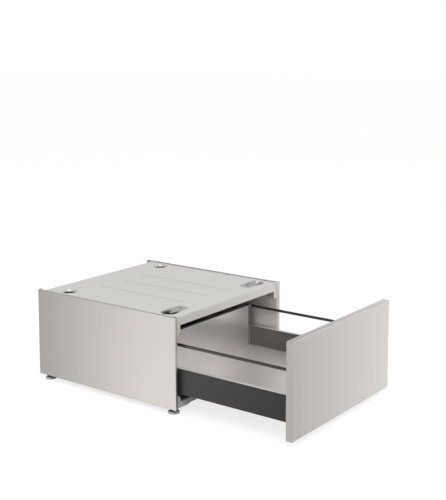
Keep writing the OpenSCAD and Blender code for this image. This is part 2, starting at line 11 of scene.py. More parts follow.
import bmesh
import bpy
import numpy as np
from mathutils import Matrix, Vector

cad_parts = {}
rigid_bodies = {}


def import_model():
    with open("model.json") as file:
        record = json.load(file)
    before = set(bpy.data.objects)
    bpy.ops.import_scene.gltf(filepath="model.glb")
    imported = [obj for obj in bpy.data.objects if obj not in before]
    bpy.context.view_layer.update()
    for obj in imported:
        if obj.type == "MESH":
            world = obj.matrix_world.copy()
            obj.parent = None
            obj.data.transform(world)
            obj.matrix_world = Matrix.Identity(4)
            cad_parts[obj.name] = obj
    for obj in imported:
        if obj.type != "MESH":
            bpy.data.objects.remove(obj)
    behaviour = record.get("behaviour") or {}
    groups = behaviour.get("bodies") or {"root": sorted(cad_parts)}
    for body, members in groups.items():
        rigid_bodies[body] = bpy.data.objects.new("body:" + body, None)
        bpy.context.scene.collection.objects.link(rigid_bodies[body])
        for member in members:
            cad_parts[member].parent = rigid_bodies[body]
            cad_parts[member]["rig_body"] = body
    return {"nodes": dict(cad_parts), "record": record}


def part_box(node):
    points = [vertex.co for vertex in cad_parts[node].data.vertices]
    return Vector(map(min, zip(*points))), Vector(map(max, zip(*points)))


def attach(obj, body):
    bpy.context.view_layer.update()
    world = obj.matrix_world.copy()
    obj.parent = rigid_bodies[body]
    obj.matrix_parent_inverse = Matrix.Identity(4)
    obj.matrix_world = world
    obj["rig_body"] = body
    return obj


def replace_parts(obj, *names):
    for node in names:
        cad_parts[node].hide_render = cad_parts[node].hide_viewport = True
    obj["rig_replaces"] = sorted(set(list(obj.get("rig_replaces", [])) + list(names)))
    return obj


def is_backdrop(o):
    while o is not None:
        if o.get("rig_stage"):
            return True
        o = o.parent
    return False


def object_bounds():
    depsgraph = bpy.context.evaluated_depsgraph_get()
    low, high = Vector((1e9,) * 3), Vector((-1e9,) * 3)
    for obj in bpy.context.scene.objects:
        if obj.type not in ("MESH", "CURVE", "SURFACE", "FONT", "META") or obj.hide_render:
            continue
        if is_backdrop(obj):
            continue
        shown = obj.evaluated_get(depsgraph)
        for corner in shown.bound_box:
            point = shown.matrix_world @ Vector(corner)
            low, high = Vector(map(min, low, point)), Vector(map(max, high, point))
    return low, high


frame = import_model()
nodes = frame["nodes"]
body_of_node = {name: obj["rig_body"] for name, obj in nodes.items()}
slot_of_node = {sub["node"]: sub["material_slot"] for sub in frame["record"]["subparts"]}
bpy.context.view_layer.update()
MM = 0.001

# %% [markdown]
# ## The camera
# The object is seen from its left, in front and a little above. The place and the lens come from the
# directions in which its straight edges run. A camera with a large shift would keep every upright
# exactly upright, but then other views would lose the object, so this one tips down instead and
# keeps a small shift.

# %% Camera
CAMERA_PLACE = (-2.639, -2.017, 1.173)
CAMERA_TURN = -53.39  # degrees from looking along +Y
CAMERA_TIP = -7.26  # degrees from the horizon
CAMERA_LENS = 71.70  # mm, for a 36 mm long side
CAMERA_SHIFT = -0.16

camera_data = bpy.data.cameras.new("camera")
camera_data.lens = CAMERA_LENS
camera_data.shift_y = CAMERA_SHIFT
camera = bpy.data.objects.new("camera", camera_data)
camera.location = CAMERA_PLACE
camera.rotation_euler = (math.radians(90 + CAMERA_TIP), 0, math.radians(CAMERA_TURN))
bpy.context.scene.collection.objects.link(camera)
bpy.context.scene.camera = camera
print("camera", CAMERA_PLACE, "lens", CAMERA_LENS, "mm")

# %% [markdown]
# ## Small tools for materials
# A finish is a Principled shader. Constants go straight on its sockets, and only what varies over the
# surface, such as colour or roughness, comes through nodes. Patterns read Object coordinates, which
# are metres here, so a scale of 1000 gives one feature per millimetre.

# %% Material helpers
def new_finish(name, colour, metallic=0.0, roughness=0.5):
    """A material with one Principled shader: the material, its tree and the shader."""
    material = bpy.data.materials.new(name)
    material.use_nodes = True
    shader = material.node_tree.nodes["Principled BSDF"]
    shader.inputs["Base Color"].default_value = (*colour, 1)
    shader.inputs["Metallic"].default_value = metallic
    shader.inputs["Roughness"].default_value = roughness
    return material, material.node_tree, shader


def pattern(tree, scale, detail=3.0):
    """Noise on Object coordinates, in features per metre, with one scale or one for each axis."""
    place = tree.nodes.new("ShaderNodeTexCoord")
    stretch = tree.nodes.new("ShaderNodeMapping")
    noise = tree.nodes.new("ShaderNodeTexNoise")
    stretch.inputs["Scale"].default_value = np.broadcast_to(scale, 3)
    noise.inputs["Scale"].default_value = 1.0
    noise.inputs["Detail"].default_value = detail
    tree.links.new(place.outputs["Object"], stretch.inputs["Vector"])
    tree.links.new(stretch.outputs["Vector"], noise.inputs["Vector"])
    return noise.outputs["Fac"]


def spread(tree, value, low, high, start=0.3, end=0.7):
    """Maps a pattern's values from start..end to low..high."""
    ramp = tree.nodes.new("ShaderNodeMapRange")
    ramp.inputs["From Min"].default_value = start
    ramp.inputs["From Max"].default_value = end
    ramp.inputs["To Min"].default_value = low
    ramp.inputs["To Max"].default_value = high
    tree.links.new(value, ramp.inputs["Value"])
    return ramp.outputs["Result"]


def tint(tree, value, dark, light):
    """A colour between dark and light, as a pattern says."""
    mix = tree.nodes.new("ShaderNodeMix")
    mix.data_type = "RGBA"
    mix.inputs["A"].default_value = (*dark, 1)
    mix.inputs["B"].default_value = (*light, 1)
    tree.links.new(value, mix.inputs["Factor"])
    return mix.outputs["Result"]


def vary(tree, shader, socket, value):
    """Lets a pattern's value or colour drive one of the shader's sockets."""
    tree.links.new(value, shader.inputs[socket])


def darker(colour, share):
    """A colour times a share."""
    return tuple(share * part for part in colour)


def relief(tree, shader, value, depth):
    """Bump of that depth in metres, on the shader's normal."""
    bump = tree.nodes.new("ShaderNodeBump")
    bump.inputs["Strength"].default_value = 1.0
    bump.inputs["Distance"].default_value = depth
    tree.links.new(value, bump.inputs["Height"])
    tree.links.new(bump.outputs["Normal"], shader.inputs["Normal"])


# %% [markdown]
# ## Satin steel
# The outside is stainless steel, rubbed along its length with an abrasive belt. The belt leaves fine
# lines, so a reflection stays narrow along the grain and is drawn out across it. The shader's own
# anisotropy does that for the light, with its direction from a UV map that each piece gets later.
# A faint, long-drawn noise adds the single lines that show from close by. A photograph of scratches
# could be laid on instead, but it would repeat, and a noise never does.

# %% Satin steel
STEEL = (0.735, 0.701, 0.673)
STEEL_DARK = (0.717, 0.684, 0.656)
GRAIN_ACROSS = 900.0  # lines per metre
GRAIN_ALONG = 7.0
GRAIN_DEPTH = 3e-6  # metres
GRAIN_MAP = "Grain"
GLOSS_RANGE = 0.03  # how far a pattern moves the roughness either way


def satin_steel(name, grain_axis, roughness=0.34, drawn_out=0.6):
    """Rubbed steel, with its grain along the axis 0, 1 or 2."""
    material, tree, shader = new_finish(name, STEEL, metallic=1.0, roughness=roughness)
    shader.inputs["Anisotropic"].default_value = drawn_out
    scale = [GRAIN_ACROSS] * 3
    scale[grain_axis] = GRAIN_ALONG
    grain = pattern(tree, scale, detail=2.0)
    gloss = spread(tree, grain, roughness + GLOSS_RANGE, roughness - GLOSS_RANGE)
    vary(tree, shader, "Base Color", tint(tree, spread(tree, grain, 0, 1), STEEL_DARK, STEEL))
    vary(tree, shader, "Roughness", gloss)
    relief(tree, shader, grain, GRAIN_DEPTH)
    tangent = tree.nodes.new("ShaderNodeTangent")
    tangent.direction_type = "UV_MAP"
    tangent.uv_map = GRAIN_MAP
    vary(tree, shader, "Tangent", tangent.outputs["Tangent"])
    return material


ALONG_X, ALONG_Y, ALONG_Z = 0, 1, 2
satin_across = satin_steel("satin_steel_across", ALONG_X)
satin_deep = satin_steel("satin_steel_deep", ALONG_Y)
print("grain lines are", round(1000 / GRAIN_ACROSS, 1), "mm apart")

# %% [markdown]
# ## Metallic paint
# The frame, and the drawer's floor and back, are sheet with a thin metallic paint. Between a mirror
# and a plain colour there is one socket, Metallic, so each of them gets its share: the back wall
# mirrors most, and the inside of the side panels mirrors least. That inside gets a paler paint, whose
# pale colour is painted light for the light that shows in the gap beside the drawer. The rear posts
# have such a paint too, in a mid grey.

# %% Sheet with metallic paint
PAINT_PEEL = 700.0  # dimples per metre
PAINT_DEPTH = 4e-6
PAINT_CLOUDS = 9.0  # soft patches per metre
PAINT_SHADE = 0.97


def metallic_paint(name, colour, metallic, roughness):
    """A thin silver paint: its flakes mirror a little, and its skin is slightly dimpled."""
    material, tree, shader = new_finish(name, colour, metallic=metallic, roughness=roughness)
    peel = pattern(tree, PAINT_PEEL, detail=1.0)
    cloud = pattern(tree, PAINT_CLOUDS, detail=2.0)
    gloss = spread(tree, cloud, roughness - GLOSS_RANGE, roughness + GLOSS_RANGE)
    shade = darker(colour, PAINT_SHADE)
    vary(tree, shader, "Base Color", tint(tree, spread(tree, cloud, 0, 1), shade, colour))
    vary(tree, shader, "Roughness", gloss)
    relief(tree, shader, peel, PAINT_DEPTH)
    return material


drawer_silver = metallic_paint("drawer_silver", (0.76, 0.73, 0.70), 0.45, 0.30)
back_silver = metallic_paint("back_silver", (0.83, 0.808, 0.785), 0.65, 0.32)
frame_silver = metallic_paint("frame_silver", (0.66, 0.642, 0.618), 0.3, 0.34)
# painted light: a paler paint for the inside of the side panels, standing for the light in the gap
# beside the drawer
painted_light_silver = metallic_paint("painted_light_silver", (0.86, 0.845, 0.82), 0.1, 0.40)
post_silver = metallic_paint("post_silver", (0.26, 0.25, 0.24), 0.3, 0.34)
print("painted:", [m.name for m in bpy.data.materials if "silver" in m.name])

# %% [markdown]
# ## Powder coat and zinc
# The outside of the drawer's walls has a dark powder coat, whose skin is finely dimpled like orange
# peel. The hidden steel is zinc plated. A Voronoi pattern has one random grey for each of its cells,
# which gives the faint patches of the zinc's crystals.

# %% Dark powder coat
COAT_PEEL = 450.0  # dimples per metre
COAT_DEPTH = 8e-6
COAT_PATCHES = 30.0  # per metre


def powder_coat(name, colour, roughness):
    """A dark, half-gloss powder coat with an orange-peel skin."""
    material, tree, shader = new_finish(name, colour, roughness=roughness)
    peel = pattern(tree, COAT_PEEL, detail=1.0)
    patches = pattern(tree, COAT_PATCHES)
    gloss = spread(tree, patches, roughness - GLOSS_RANGE, roughness + GLOSS_RANGE)
    vary(tree, shader, "Roughness", gloss)
    relief(tree, shader, peel, COAT_DEPTH)
    return material


dark_coat = powder_coat("dark_coat", (0.0265, 0.0242, 0.0215), 0.30)
print("coat with", round(1000 / COAT_PEEL, 1), "mm dimples")

# %% Zinc plating
CRYSTALS = 160.0  # per metre
CRYSTAL_SHADE = 0.93
CRYSTAL_GLOSS = 0.05
CRYSTAL_GREYS = (0.2, 0.8)  # between these the patches change


def zinc_plate(name, colour, roughness):
    """Bright zinc on steel, with patches a few millimetres wide."""
    material, tree, shader = new_finish(name, colour, metallic=1.0, roughness=roughness)
    crystals = tree.nodes.new("ShaderNodeTexVoronoi")
    crystals.inputs["Scale"].default_value = CRYSTALS
    place = tree.nodes.new("ShaderNodeTexCoord")
    tree.links.new(place.outputs["Object"], crystals.inputs["Vector"])
    grey = tree.nodes.new("ShaderNodeRGBToBW")
    tree.links.new(crystals.outputs["Color"], grey.inputs["Color"])
    greys = grey.outputs["Val"]
    mix = spread(tree, greys, 0, 1, *CRYSTAL_GREYS)
    low, high = roughness - CRYSTAL_GLOSS, roughness + CRYSTAL_GLOSS
    vary(tree, shader, "Base Color", tint(tree, mix, darker(colour, CRYSTAL_SHADE), colour))
    vary(tree, shader, "Roughness", spread(tree, greys, low, high, *CRYSTAL_GREYS))
    return material


zinc = zinc_plate("zinc", (0.56, 0.57, 0.58), 0.36)
print("zinc crystals are", round(1000 / CRYSTALS, 1), "mm wide")

# %% [markdown]
# ## Chrome, lacquer, plastic, rubber, balls and board
# The small pieces have plain finishes. No real surface is equally glossy all over, so a soft pattern
# moves the roughness a little, and a finer one gives the moulded and cast ones their skin. The rods
# are black chrome: a mirror with a dark colour. The linings are clear dark lacquer over steel, which
# is made in the same way, only softer.

# %% Plain finishes
SKIN_FINER = 12  # how many dimples there are to each patch


def mottled(name, colour, metallic, roughness, patches, depth=0.0, gloss_range=0.04):
    """A plain finish whose gloss varies in patches, with a skin of that depth."""
    material, tree, shader = new_finish(name, colour, metallic, roughness)
    mottle = pattern(tree, patches)
    gloss = spread(tree, mottle, roughness - gloss_range, roughness + gloss_range)
    vary(tree, shader, "Roughness", gloss)
    if depth:
        relief(tree, shader, pattern(tree, patches * SKIN_FINER, detail=1.0), depth)
    return material


dark_chrome = mottled("dark_chrome", (0.11, 0.106, 0.101), 0.9, 0.11, 40, gloss_range=0.03)
dark_lacquer = mottled("dark_lacquer", (0.19, 0.185, 0.179), 1.0, 0.22, 40, 5e-7, 0.02)
ball_steel = mottled("ball_steel", (0.60, 0.57, 0.50), 1.0, 0.22, 200)
grey_plastic = mottled("grey_plastic", (0.47, 0.46, 0.45), 0.0, 0.45, 80, 6e-6)
black_plastic = mottled("black_plastic", (0.035, 0.035, 0.034), 0.0, 0.42, 70, 8e-6)
black_rubber = mottled("black_rubber", (0.028, 0.028, 0.028), 0.0, 0.65, 90, 1e-5)
raw_board = mottled("raw_board", (0.50, 0.38, 0.25), 0.0, 0.75, 120, 2e-5)
print("finishes:", sorted(m.name for m in bpy.data.materials))

# %% [markdown]
# ## Small tools for shapes
# Nearly every piece is either folded from sheet or turned. A folded piece is a line of flats, with a
# round fold at each corner, carried along a straight way. A turned piece is a profile carried round
# an axis. Both are grids of points, worked out at once as arrays.

# %% Reading and joining meshes
def read(items, key, width=1, kind=float):
    """One attribute of all items of a mesh, as an array with a row of that width for each."""
    values = np.empty(len(items) * width, kind)
    items.foreach_get(key, values)
    return values.reshape(-1, width) if width > 1 else values


def grid_faces(rows, columns, closed_rows=False, closed_columns=True):
    """Quads between neighbours on a grid, which may close on itself either way. The point in a row
    and a column has the number row * columns + column."""
    row = np.arange(rows if closed_rows else rows - 1)[:, None]
    column = np.arange(columns if closed_columns else columns - 1)[None, :]
    next_row, next_column = (row + 1) % rows, (column + 1) % columns
    corners = [row * columns + column, next_row * columns + column, next_row * columns + next_column,
               row * columns + next_column]
    return np.stack(corners, -1).reshape(-1, 4)


def joined(shells):
    """Several (points, faces) as one."""
    counts = np.cumsum([0] + [len(points) for points, _ in shells[:-1]])
    points = np.concatenate([points for points, _ in shells])
    faces = [tuple(int(i) + n for i in face) for (_, part), n in zip(shells, counts) for face in part]
    return points, faces


print("a grid of 3 by 4 points has", len(grid_faces(3, 4)), "faces when each row closes round")

# %% [markdown]
# ## From points to a piece
# Each shell of points and faces becomes an object. Doubles are merged and the faces turned outwards,
# the folds shade softly and the edges stay sharp, and a UV map follows the grain of rubbed steel.

# %% Pieces
def map_grain(mesh, flat_grain):
    """A UV map for rubbed steel. V runs along the grain, which is level on an upright face and
    follows the axis flat_grain on a level one. U runs across, as highlights are drawn out along U."""
    corner = read(mesh.loops, "vertex_index", kind=int)
    point = read(mesh.vertices, "co", 3)
    count = read(mesh.polygons, "loop_total", kind=int)
    normal = np.repeat(read(mesh.polygons, "normal", 3), count, axis=0)
    level = np.cross([0, 0, 1], normal)
    is_level = np.linalg.norm(level, axis=1) < 0.5
    level[is_level] = np.eye(3)[flat_grain] - normal[is_level] * normal[is_level][:, [flat_grain]]
    level /= np.linalg.norm(level, axis=1)[:, None]
    across = np.cross(normal, level)
    place = point[corner]
    uv = np.stack([(place * across).sum(1), (place * level).sum(1)], -1)
    layer = mesh.uv_layers.new(name=GRAIN_MAP)
    layer.data.foreach_set("uv", uv.astype(np.float32).ravel())


SHARP_FOLD = math.radians(32)
SAME_POINT = 1e-6  # metres
made = []


def piece(name, shell, finish, *replaced, flat_grain=ALONG_X):
    """A finished piece from (points, faces) in metres. It stands for nodes and rides on their body."""
    points, faces = shell
    mesh = bpy.data.meshes.new(name)
    mesh.from_pydata(points.tolist(), [], [tuple(face) for face in faces])
    tidy = bmesh.new()
    tidy.from_mesh(mesh)
    bmesh.ops.remove_doubles(tidy, verts=tidy.verts, dist=SAME_POINT)
    bmesh.ops.recalc_face_normals(tidy, faces=tidy.faces)
    tidy.to_mesh(mesh)
    tidy.free()
    mesh.polygons.foreach_set("use_smooth", np.ones(len(mesh.polygons), bool))
    mesh.set_sharp_from_angle(angle=SHARP_FOLD)
    map_grain(mesh, flat_grain)
    mesh.materials.append(finish)
    obj = bpy.data.objects.new(name, mesh)
    bpy.context.scene.collection.objects.link(obj)
    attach(obj, body_of_node[replaced[0]])
    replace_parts(obj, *replaced)
    made.append(name)
    return obj


print("folds sharper than", round(math.degrees(SHARP_FOLD)), "degrees keep an edge")

# %% [markdown]
# ## Folded sheet
# A folded sheet has two faces, which are the same line at two distances from its neutral way. At a
# fold both turn about one centre, so the outer one has the larger radius. Bevel and Solidify on a
# bent plane could do the same. Worked out in this way, the outer size and the inner radius are set
# directly, as on a drawing. Each fold is one array, and the outline is carried along in one step.

# %% Folded sheet
FOLD_STEPS = 8
FOLD_GUARD = 0.3  # mm of flat beside each fold, so that the soft shading stays in the fold


def turned_by(v, angle):
    """The flat vector v turned by an angle, or by each of several."""
    c, s = np.cos(angle), np.sin(angle)
    return np.stack([v[0] * c - v[1] * s, v[0] * s + v[1] * c], -1)


def folded(line, thickness, inner_radius):
    """Both faces of a folded sheet, point by point. The sheet lies to the left of the line, and each
    corner becomes two arcs about one centre: the face inside the fold has the inner radius, which may
    be given for each fold. A point on the flat guards each end of an arc."""
    line = np.array(line, float)
    way = np.diff(line, axis=0)
    way /= np.linalg.norm(way, axis=1)[:, None]
    left = np.stack([-way[:, 1], way[:, 0]], -1)
    near, far = [line[:1]], [line[:1] + left[:1] * thickness]
    inner = np.broadcast_to(inner_radius, len(line) - 2)
    for corner, before, after, normal, inside in zip(line[1:-1], way[:-1], way[1:], left[:-1], inner):
        turn = math.atan2(before[0] * after[1] - before[1] * after[0], before @ after)
        side = math.copysign(1, turn)
        radius = inside + (thickness if side > 0 else 0)
        centre = corner - before * radius * abs(math.tan(turn / 2)) + side * normal * radius
        spoke = -turned_by(side * normal, np.linspace(0, turn, FOLD_STEPS + 1))
        for points, reach in ((near, radius), (far, radius - side * thickness)):
            arc = centre + spoke * reach
            points += [arc[:1] - before * FOLD_GUARD, arc, arc[-1:] + after * FOLD_GUARD]
    near.append(line[-1:])
    far.append(line[-1:] + left[-1:] * thickness)
    return np.concatenate(near), np.concatenate(far)


def carried(faces_of_sheet, start, end, place):
    """A folded sheet carried from start to end. place(a, b, way) turns flat points to x, y and z."""
    near, far = faces_of_sheet
    ring = np.concatenate([near, far[::-1]])
    count, half = len(ring), len(near)
    ends = [place(ring[:, 0], ring[:, 1], np.full(count, way)) for way in (start, end)]
    walls = grid_faces(2, count)
    i = np.arange(half - 1)
    cap = np.stack([i, i + 1, count - 2 - i, count - 1 - i], -1)
    return np.concatenate(ends), np.concatenate([walls, cap, cap + count])


def upright(a, b, way):
    """An outline in X and Y, carried along Z."""
    return np.stack([a, b, way], -1) * MM


def lengthwise(a, b, way):
    """An outline in X and Z, carried along Y."""
    return np.stack([a, way, b], -1) * MM


def crosswise(a, b, way):
    """An outline in Y and Z, carried along X."""
    return np.stack([way, a, b], -1) * MM


def mirrored(shell):
    """The same shell on the other side of the middle plane."""
    points, faces = shell
    return points * (-1, 1, 1), faces


print("a fold of 90 degrees has", FOLD_STEPS, "flats")

# %% [markdown]
# ## Turned parts
# A turned part is a grid of height and angle. Its radius comes from the height alone, or, for a
# thread, a nut or a recess, from both. The Screw modifier turns a profile too, but only one whose
# radius is the same all round. Rounding a profile is the same sum as folding a sheet that has no
# thickness, so the one does the other.

# %% Turned parts
def placed(height, radius, angle, centre, axis):
    """Points at a height along an axis through centre, and at a radius and an angle round it."""
    u, v = radius * np.cos(angle), radius * np.sin(angle)
    height = height + 0 * u
    order = {ALONG_X: (height, u, v), ALONG_Y: (v, height, u), ALONG_Z: (u, v, height)}[axis]
    return (np.stack(order, -1).reshape(-1, 3) + centre) * MM


def round_angles(steps):
    """Angles once round, without the last, which is the first again."""
    return np.linspace(0, 2 * np.pi, steps, endpoint=False)


def turned(profile, centre, axis, steps=48, ring=False):
    """A profile of (height, radius) rows carried round an axis. A ring's profile closes on itself."""
    profile = np.array(profile, float)
    points = placed(profile[:, :1], profile[:, 1:], round_angles(steps), centre, axis)
    return points, grid_faces(len(profile), steps, closed_rows=ring)


def all_round(radii, steps):
    """A column of radii, each repeated for every angle."""
    return np.repeat(radii, steps, axis=1)


def softened(line, radius):
    """An open line with each corner rounded."""
    return folded(line, 0.0, radius)[0]


print("a corner is rounded with", FOLD_STEPS + 1, "points")

# %% [markdown]
# ## The stage
# A pale floor runs out of sight, and the light is that of a small studio: one large soft lamp high on
# the left, a weaker one on the right, and an even surround. Steel looks like what stands round it.
# So low cards stand about, which only reflections see: they give each large face its change of tone
# from one end to the other. The helpers tell apart the rays that look straight at a thing from those
# that carry soft light, so that each can be given its own answer.

# %% Stage helpers
def only_for_reflections(obj):
    """Hides a stage object from everything but glossy rays."""
    obj.visible_camera = False
    obj.visible_diffuse = False
    obj.visible_shadow = False
    obj.visible_transmission = False
    obj.visible_volume_scatter = False


def stage_object(name, points, faces, material):
    """A stage object from points and faces."""
    mesh = bpy.data.meshes.new(name)
    mesh.from_pydata(points, [], faces)
    mesh.materials.append(material)
    obj = bpy.data.objects.new(name, mesh)
    bpy.context.scene.collection.objects.link(obj)
    obj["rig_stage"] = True
    return obj


def seen_directly(tree):
    """1 for camera, glossy and transmission rays, 0 for the rays that carry diffuse light."""
    ray = tree.nodes.new("ShaderNodeLightPath")
    first = tree.nodes.new("ShaderNodeMath")
    first.operation = "MAXIMUM"
    tree.links.new(ray.outputs["Is Camera Ray"], first.inputs[0])
    tree.links.new(ray.outputs["Is Glossy Ray"], first.inputs[1])
    second = tree.nodes.new("ShaderNodeMath")
    second.operation = "MAXIMUM"
    tree.links.new(first.outputs["Value"], second.inputs[0])
    tree.links.new(ray.outputs["Is Transmission Ray"], second.inputs[1])
    return second.outputs["Value"]


def chosen(tree, switch, off, on):
    """off or on, as a ray switch says. Either may be a number or a socket."""
    mix = tree.nodes.new("ShaderNodeMix")
    for socket, value in (("A", off), ("B", on)):
        if isinstance(value, float):
            mix.inputs[socket].default_value = value
        else:
            tree.links.new(value, mix.inputs[socket])
    tree.links.new(switch, mix.inputs["Factor"])
    return mix.outputs["Result"]


print("rays are told apart as seen directly or not")

# %% [markdown]
# ## The floor
# Looked at directly, the floor glows a little by itself and has a darker colour. Together they make
# the pale tone of a lit studio floor, and still let the object's soft shadow fall on it. To the rays
# that carry soft light it is an ordinary pale floor, which lights the object from below. Steel low
# over the floor mirrors the part that lies in its own shade. An Ambient Occlusion node measures how
# much open sky each point has, and dims the glow there, wherever the drawer stands.

# %% Floor
FLOOR_REACH = 30.0
FLOOR_LIT = 0.72
FLOOR_GLOW = 0.78  # share of white that the floor shows by itself to rays that see it directly
FLOOR_SHADE = 0.28  # its colour to those rays, which is how deep the object's shadow can be
COVER_REACH = 0.35  # how near something above darkens the floor that steel sees
COVERED_GLOW = 0.05
COVERED_OPEN = (0.35, 0.95)  # shares of open sky between which the floor brightens
COVER_RAYS = 8

floor_material = bpy.data.materials.new("floor")
floor_material.use_nodes = True
floor_tree = floor_material.node_tree
floor_shader = floor_tree.nodes["Principled BSDF"]
floor_shader.inputs["Roughness"].default_value = 1.0
floor_shader.inputs["Specular IOR Level"].default_value = 0.0
floor_shader.inputs["Emission Color"].default_value = (1, 1, 1, 1)
floor_seen = seen_directly(floor_tree)
floor_colour = tint(floor_tree, floor_seen, (FLOOR_LIT,) * 3, (FLOOR_SHADE,) * 3)
floor_tree.links.new(floor_colour, floor_shader.inputs["Base Color"])
floor_glow = spread(floor_tree, floor_seen, 0, FLOOR_GLOW, 0, 1)
floor_covered = floor_tree.nodes.new("ShaderNodeAmbientOcclusion")
floor_covered.samples = COVER_RAYS
floor_covered.inputs["Distance"].default_value = COVER_REACH
steel_sees = spread(floor_tree, floor_covered.outputs["AO"], COVERED_GLOW, FLOOR_GLOW, *COVERED_OPEN)
floor_ray = floor_tree.nodes.new("ShaderNodeLightPath")
floor_strength = chosen(floor_tree, floor_ray.outputs["Is Glossy Ray"], floor_glow, steel_sees)
floor_tree.links.new(floor_strength, floor_shader.inputs["Emission Strength"])
floor_corners = [(x * FLOOR_REACH, y * FLOOR_REACH, 0) for x, y in ((-1, -1), (1, -1), (1, 1), (-1, 1))]
stage_object("floor", floor_corners, [(0, 1, 2, 3)], floor_material)
print("floor", 2 * FLOOR_REACH, "m wide")

# %% [markdown]
# ## The surround and the lamps
# The background is plain white, and gives an even light. Only steel sees it darken with height, as
# it would in a room with a dark ceiling. That is what gives a mirroring face its depth.

# %% Surround and lamps
SURROUND_LIGHT = 0.75
SKY_LEVEL = 0.30  # of white, high up, as steel sees it
SKY_START, SKY_FULL = 0.12, 0.60  # heights of the direction between which it darkens

world = bpy.data.worlds.new("surround")
bpy.context.scene.world = world
world.use_nodes = True
world_tree = world.node_tree
world_shade = world_tree.nodes["Background"]
world_shade.inputs["Color"].default_value = (1, 1, 1, 1)
world_way = world_tree.nodes.new("ShaderNodeTexCoord")
world_height = world_tree.nodes.new("ShaderNodeSeparateXYZ")
world_ray = world_tree.nodes.new("ShaderNodeLightPath")
world_tree.links.new(world_way.outputs["Generated"], world_height.inputs["Vector"])
sky = spread(world_tree, world_height.outputs["Z"], 1.0, SKY_LEVEL, SKY_START, SKY_FULL)
strength = chosen(world_tree, world_ray.outputs["Is Glossy Ray"], SURROUND_LIGHT, sky)
strength = chosen(world_tree, world_ray.outputs["Is Camera Ray"], strength, 1.0)
strength = chosen(world_tree, world_ray.outputs["Is Transmission Ray"], strength, 1.0)
world_tree.links.new(strength, world_shade.inputs["Strength"])


def lamp(name, place, aim, width, height, power):
    """A soft rectangular lamp at place, turned towards aim."""
    data = bpy.data.lights.new(name, "AREA")
    data.shape = "RECTANGLE"
    data.size, data.size_y = width, height
    data.energy = power
    obj = bpy.data.objects.new(name, data)
    obj.location = place
    obj.rotation_mode = "QUATERNION"
    obj.rotation_quaternion = (Vector(aim) - Vector(place)).to_track_quat("-Z", "Y")
    bpy.context.scene.collection.objects.link(obj)


LAMPS_AIM = (0, -0.1, 0.2)
lamp("key_lamp", (-2.2, -1.6, 2.8), LAMPS_AIM, width=2.0, height=1.6, power=60)
lamp("fill_lamp", (2.6, -2.2, 2.2), LAMPS_AIM, width=2.0, height=1.6, power=25)

# %% [markdown]
# ## Cards for the steel
# Seen in a mirror, the camera stands behind the mirror's plane. From that mirrored place, each strip
# of a panel looks at its own slice of the room, so a card that is laid out in polar steps about it
# can give every strip its own tone. The card lies on the floor, where the panel's foot looks, and
# then stands up like the paper sweep of a studio. Its level changes evenly from stop to stop round
# that place. Only glossy rays see it, so it lights nothing.

# %% Cards
CARD_LIFT = 0.002  # above the floor
CARD_GAP = 0.012  # kept from the panel
CARD_STEPS = 48
SWEEP_REACH = 2.2  # how far it lies on the floor before it stands up
SWEEP_HEIGHT = 1.6

card_glow = bpy.data.materials.new("card_glow")
card_glow.use_nodes = True
card_tree = card_glow.node_tree
card_tree.nodes.clear()
card_level = card_tree.nodes.new("ShaderNodeAttribute")
card_level.attribute_name = "level"
card_shade = card_tree.nodes.new("ShaderNodeEmission")
card_out = card_tree.nodes.new("ShaderNodeOutputMaterial")
card_tree.links.new(card_level.outputs["Fac"], card_shade.inputs["Strength"])
card_tree.links.new(card_shade.outputs["Emission"], card_out.inputs["Surface"])


def sweep_card(name, centre, axis, side, stops, near, profile):
    """A sweep of paper in polar steps about centre. Each stop is (azimuth, level), and the azimuth
    runs from axis towards side, in degrees. Each row of the profile is (distance, height): its
    distance is added to near, which is kept along the axis."""
    azimuths, levels = zip(*stops)
    turn = np.linspace(azimuths[0], azimuths[-1], CARD_STEPS)
    level = np.interp(turn, azimuths, levels)
    turn = np.radians(turn)
    way = np.outer(np.cos(turn), axis) + np.outer(np.sin(turn), side)
    distance, height = np.array(profile, float).T[..., None]
    along = near / np.cos(turn) + distance
    flat = np.array(centre, float) + along[..., None] * way
    points = np.concatenate([flat, (height + 0 * along)[..., None]], -1).reshape(-1, 3)
    faces = grid_faces(len(profile), CARD_STEPS, closed_columns=False)
    obj = stage_object(name, points.tolist(), faces.tolist(), card_glow)
    layer = obj.data.attributes.new("level", "FLOAT", "POINT")
    layer.data.foreach_set("value", np.tile(level, len(profile)).astype(np.float32))
    only_for_reflections(obj)


panel_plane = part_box("left_side_panel")[0][0]
front_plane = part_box("front_skin")[0][1]
behind_panel = (2 * panel_plane - CAMERA_PLACE[0], CAMERA_PLACE[1])
behind_front = (CAMERA_PLACE[0], 2 * front_plane - CAMERA_PLACE[1])
sweep = [(0, CARD_LIFT), (SWEEP_REACH, CARD_LIFT), (SWEEP_REACH, SWEEP_HEIGHT)]
left_stops = [(22, 0.55), (34, 0.60), (38, 1.0), (41, 1.0), (49, 0.38), (75, 0.34)]
sweep_card("left_card", behind_panel, (-1, 0), (0, 1), left_stops,
           behind_panel[0] - panel_plane + CARD_GAP, sweep)
front_stops = [(30, 0.46), (55, 0.50), (64, 1.0), (66, 1.0)]
sweep_card("front_card", behind_front, (0, -1), (1, 0), front_stops,
           behind_front[1] - front_plane + CARD_GAP, sweep)
print("cards about", np.round(behind_panel, 2), "and", np.round(behind_front, 2))

# %% [markdown]
# ## The side panels
# Each side of the cabinet is one sheet of steel. Upright folds carry a narrow strip round to the
# front and a flange round to the back, and the sheet turns in along its top and foot. The wall with
# its two long folds is one profile carried along Y, and the two corners are profiles carried up.
# They meet on the flat, where no seam shows. What looks inwards, the inside of the sheet and the legs
# of the strip, gets a paler paint, whose pale colour is painted light for the gap beside the drawer.

# %% Side panels
def box_mm(name):
    """A piece's lowest and highest corners, in millimetres."""
    low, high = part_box(name)
    return np.array(low) / MM, np.array(high) / MM


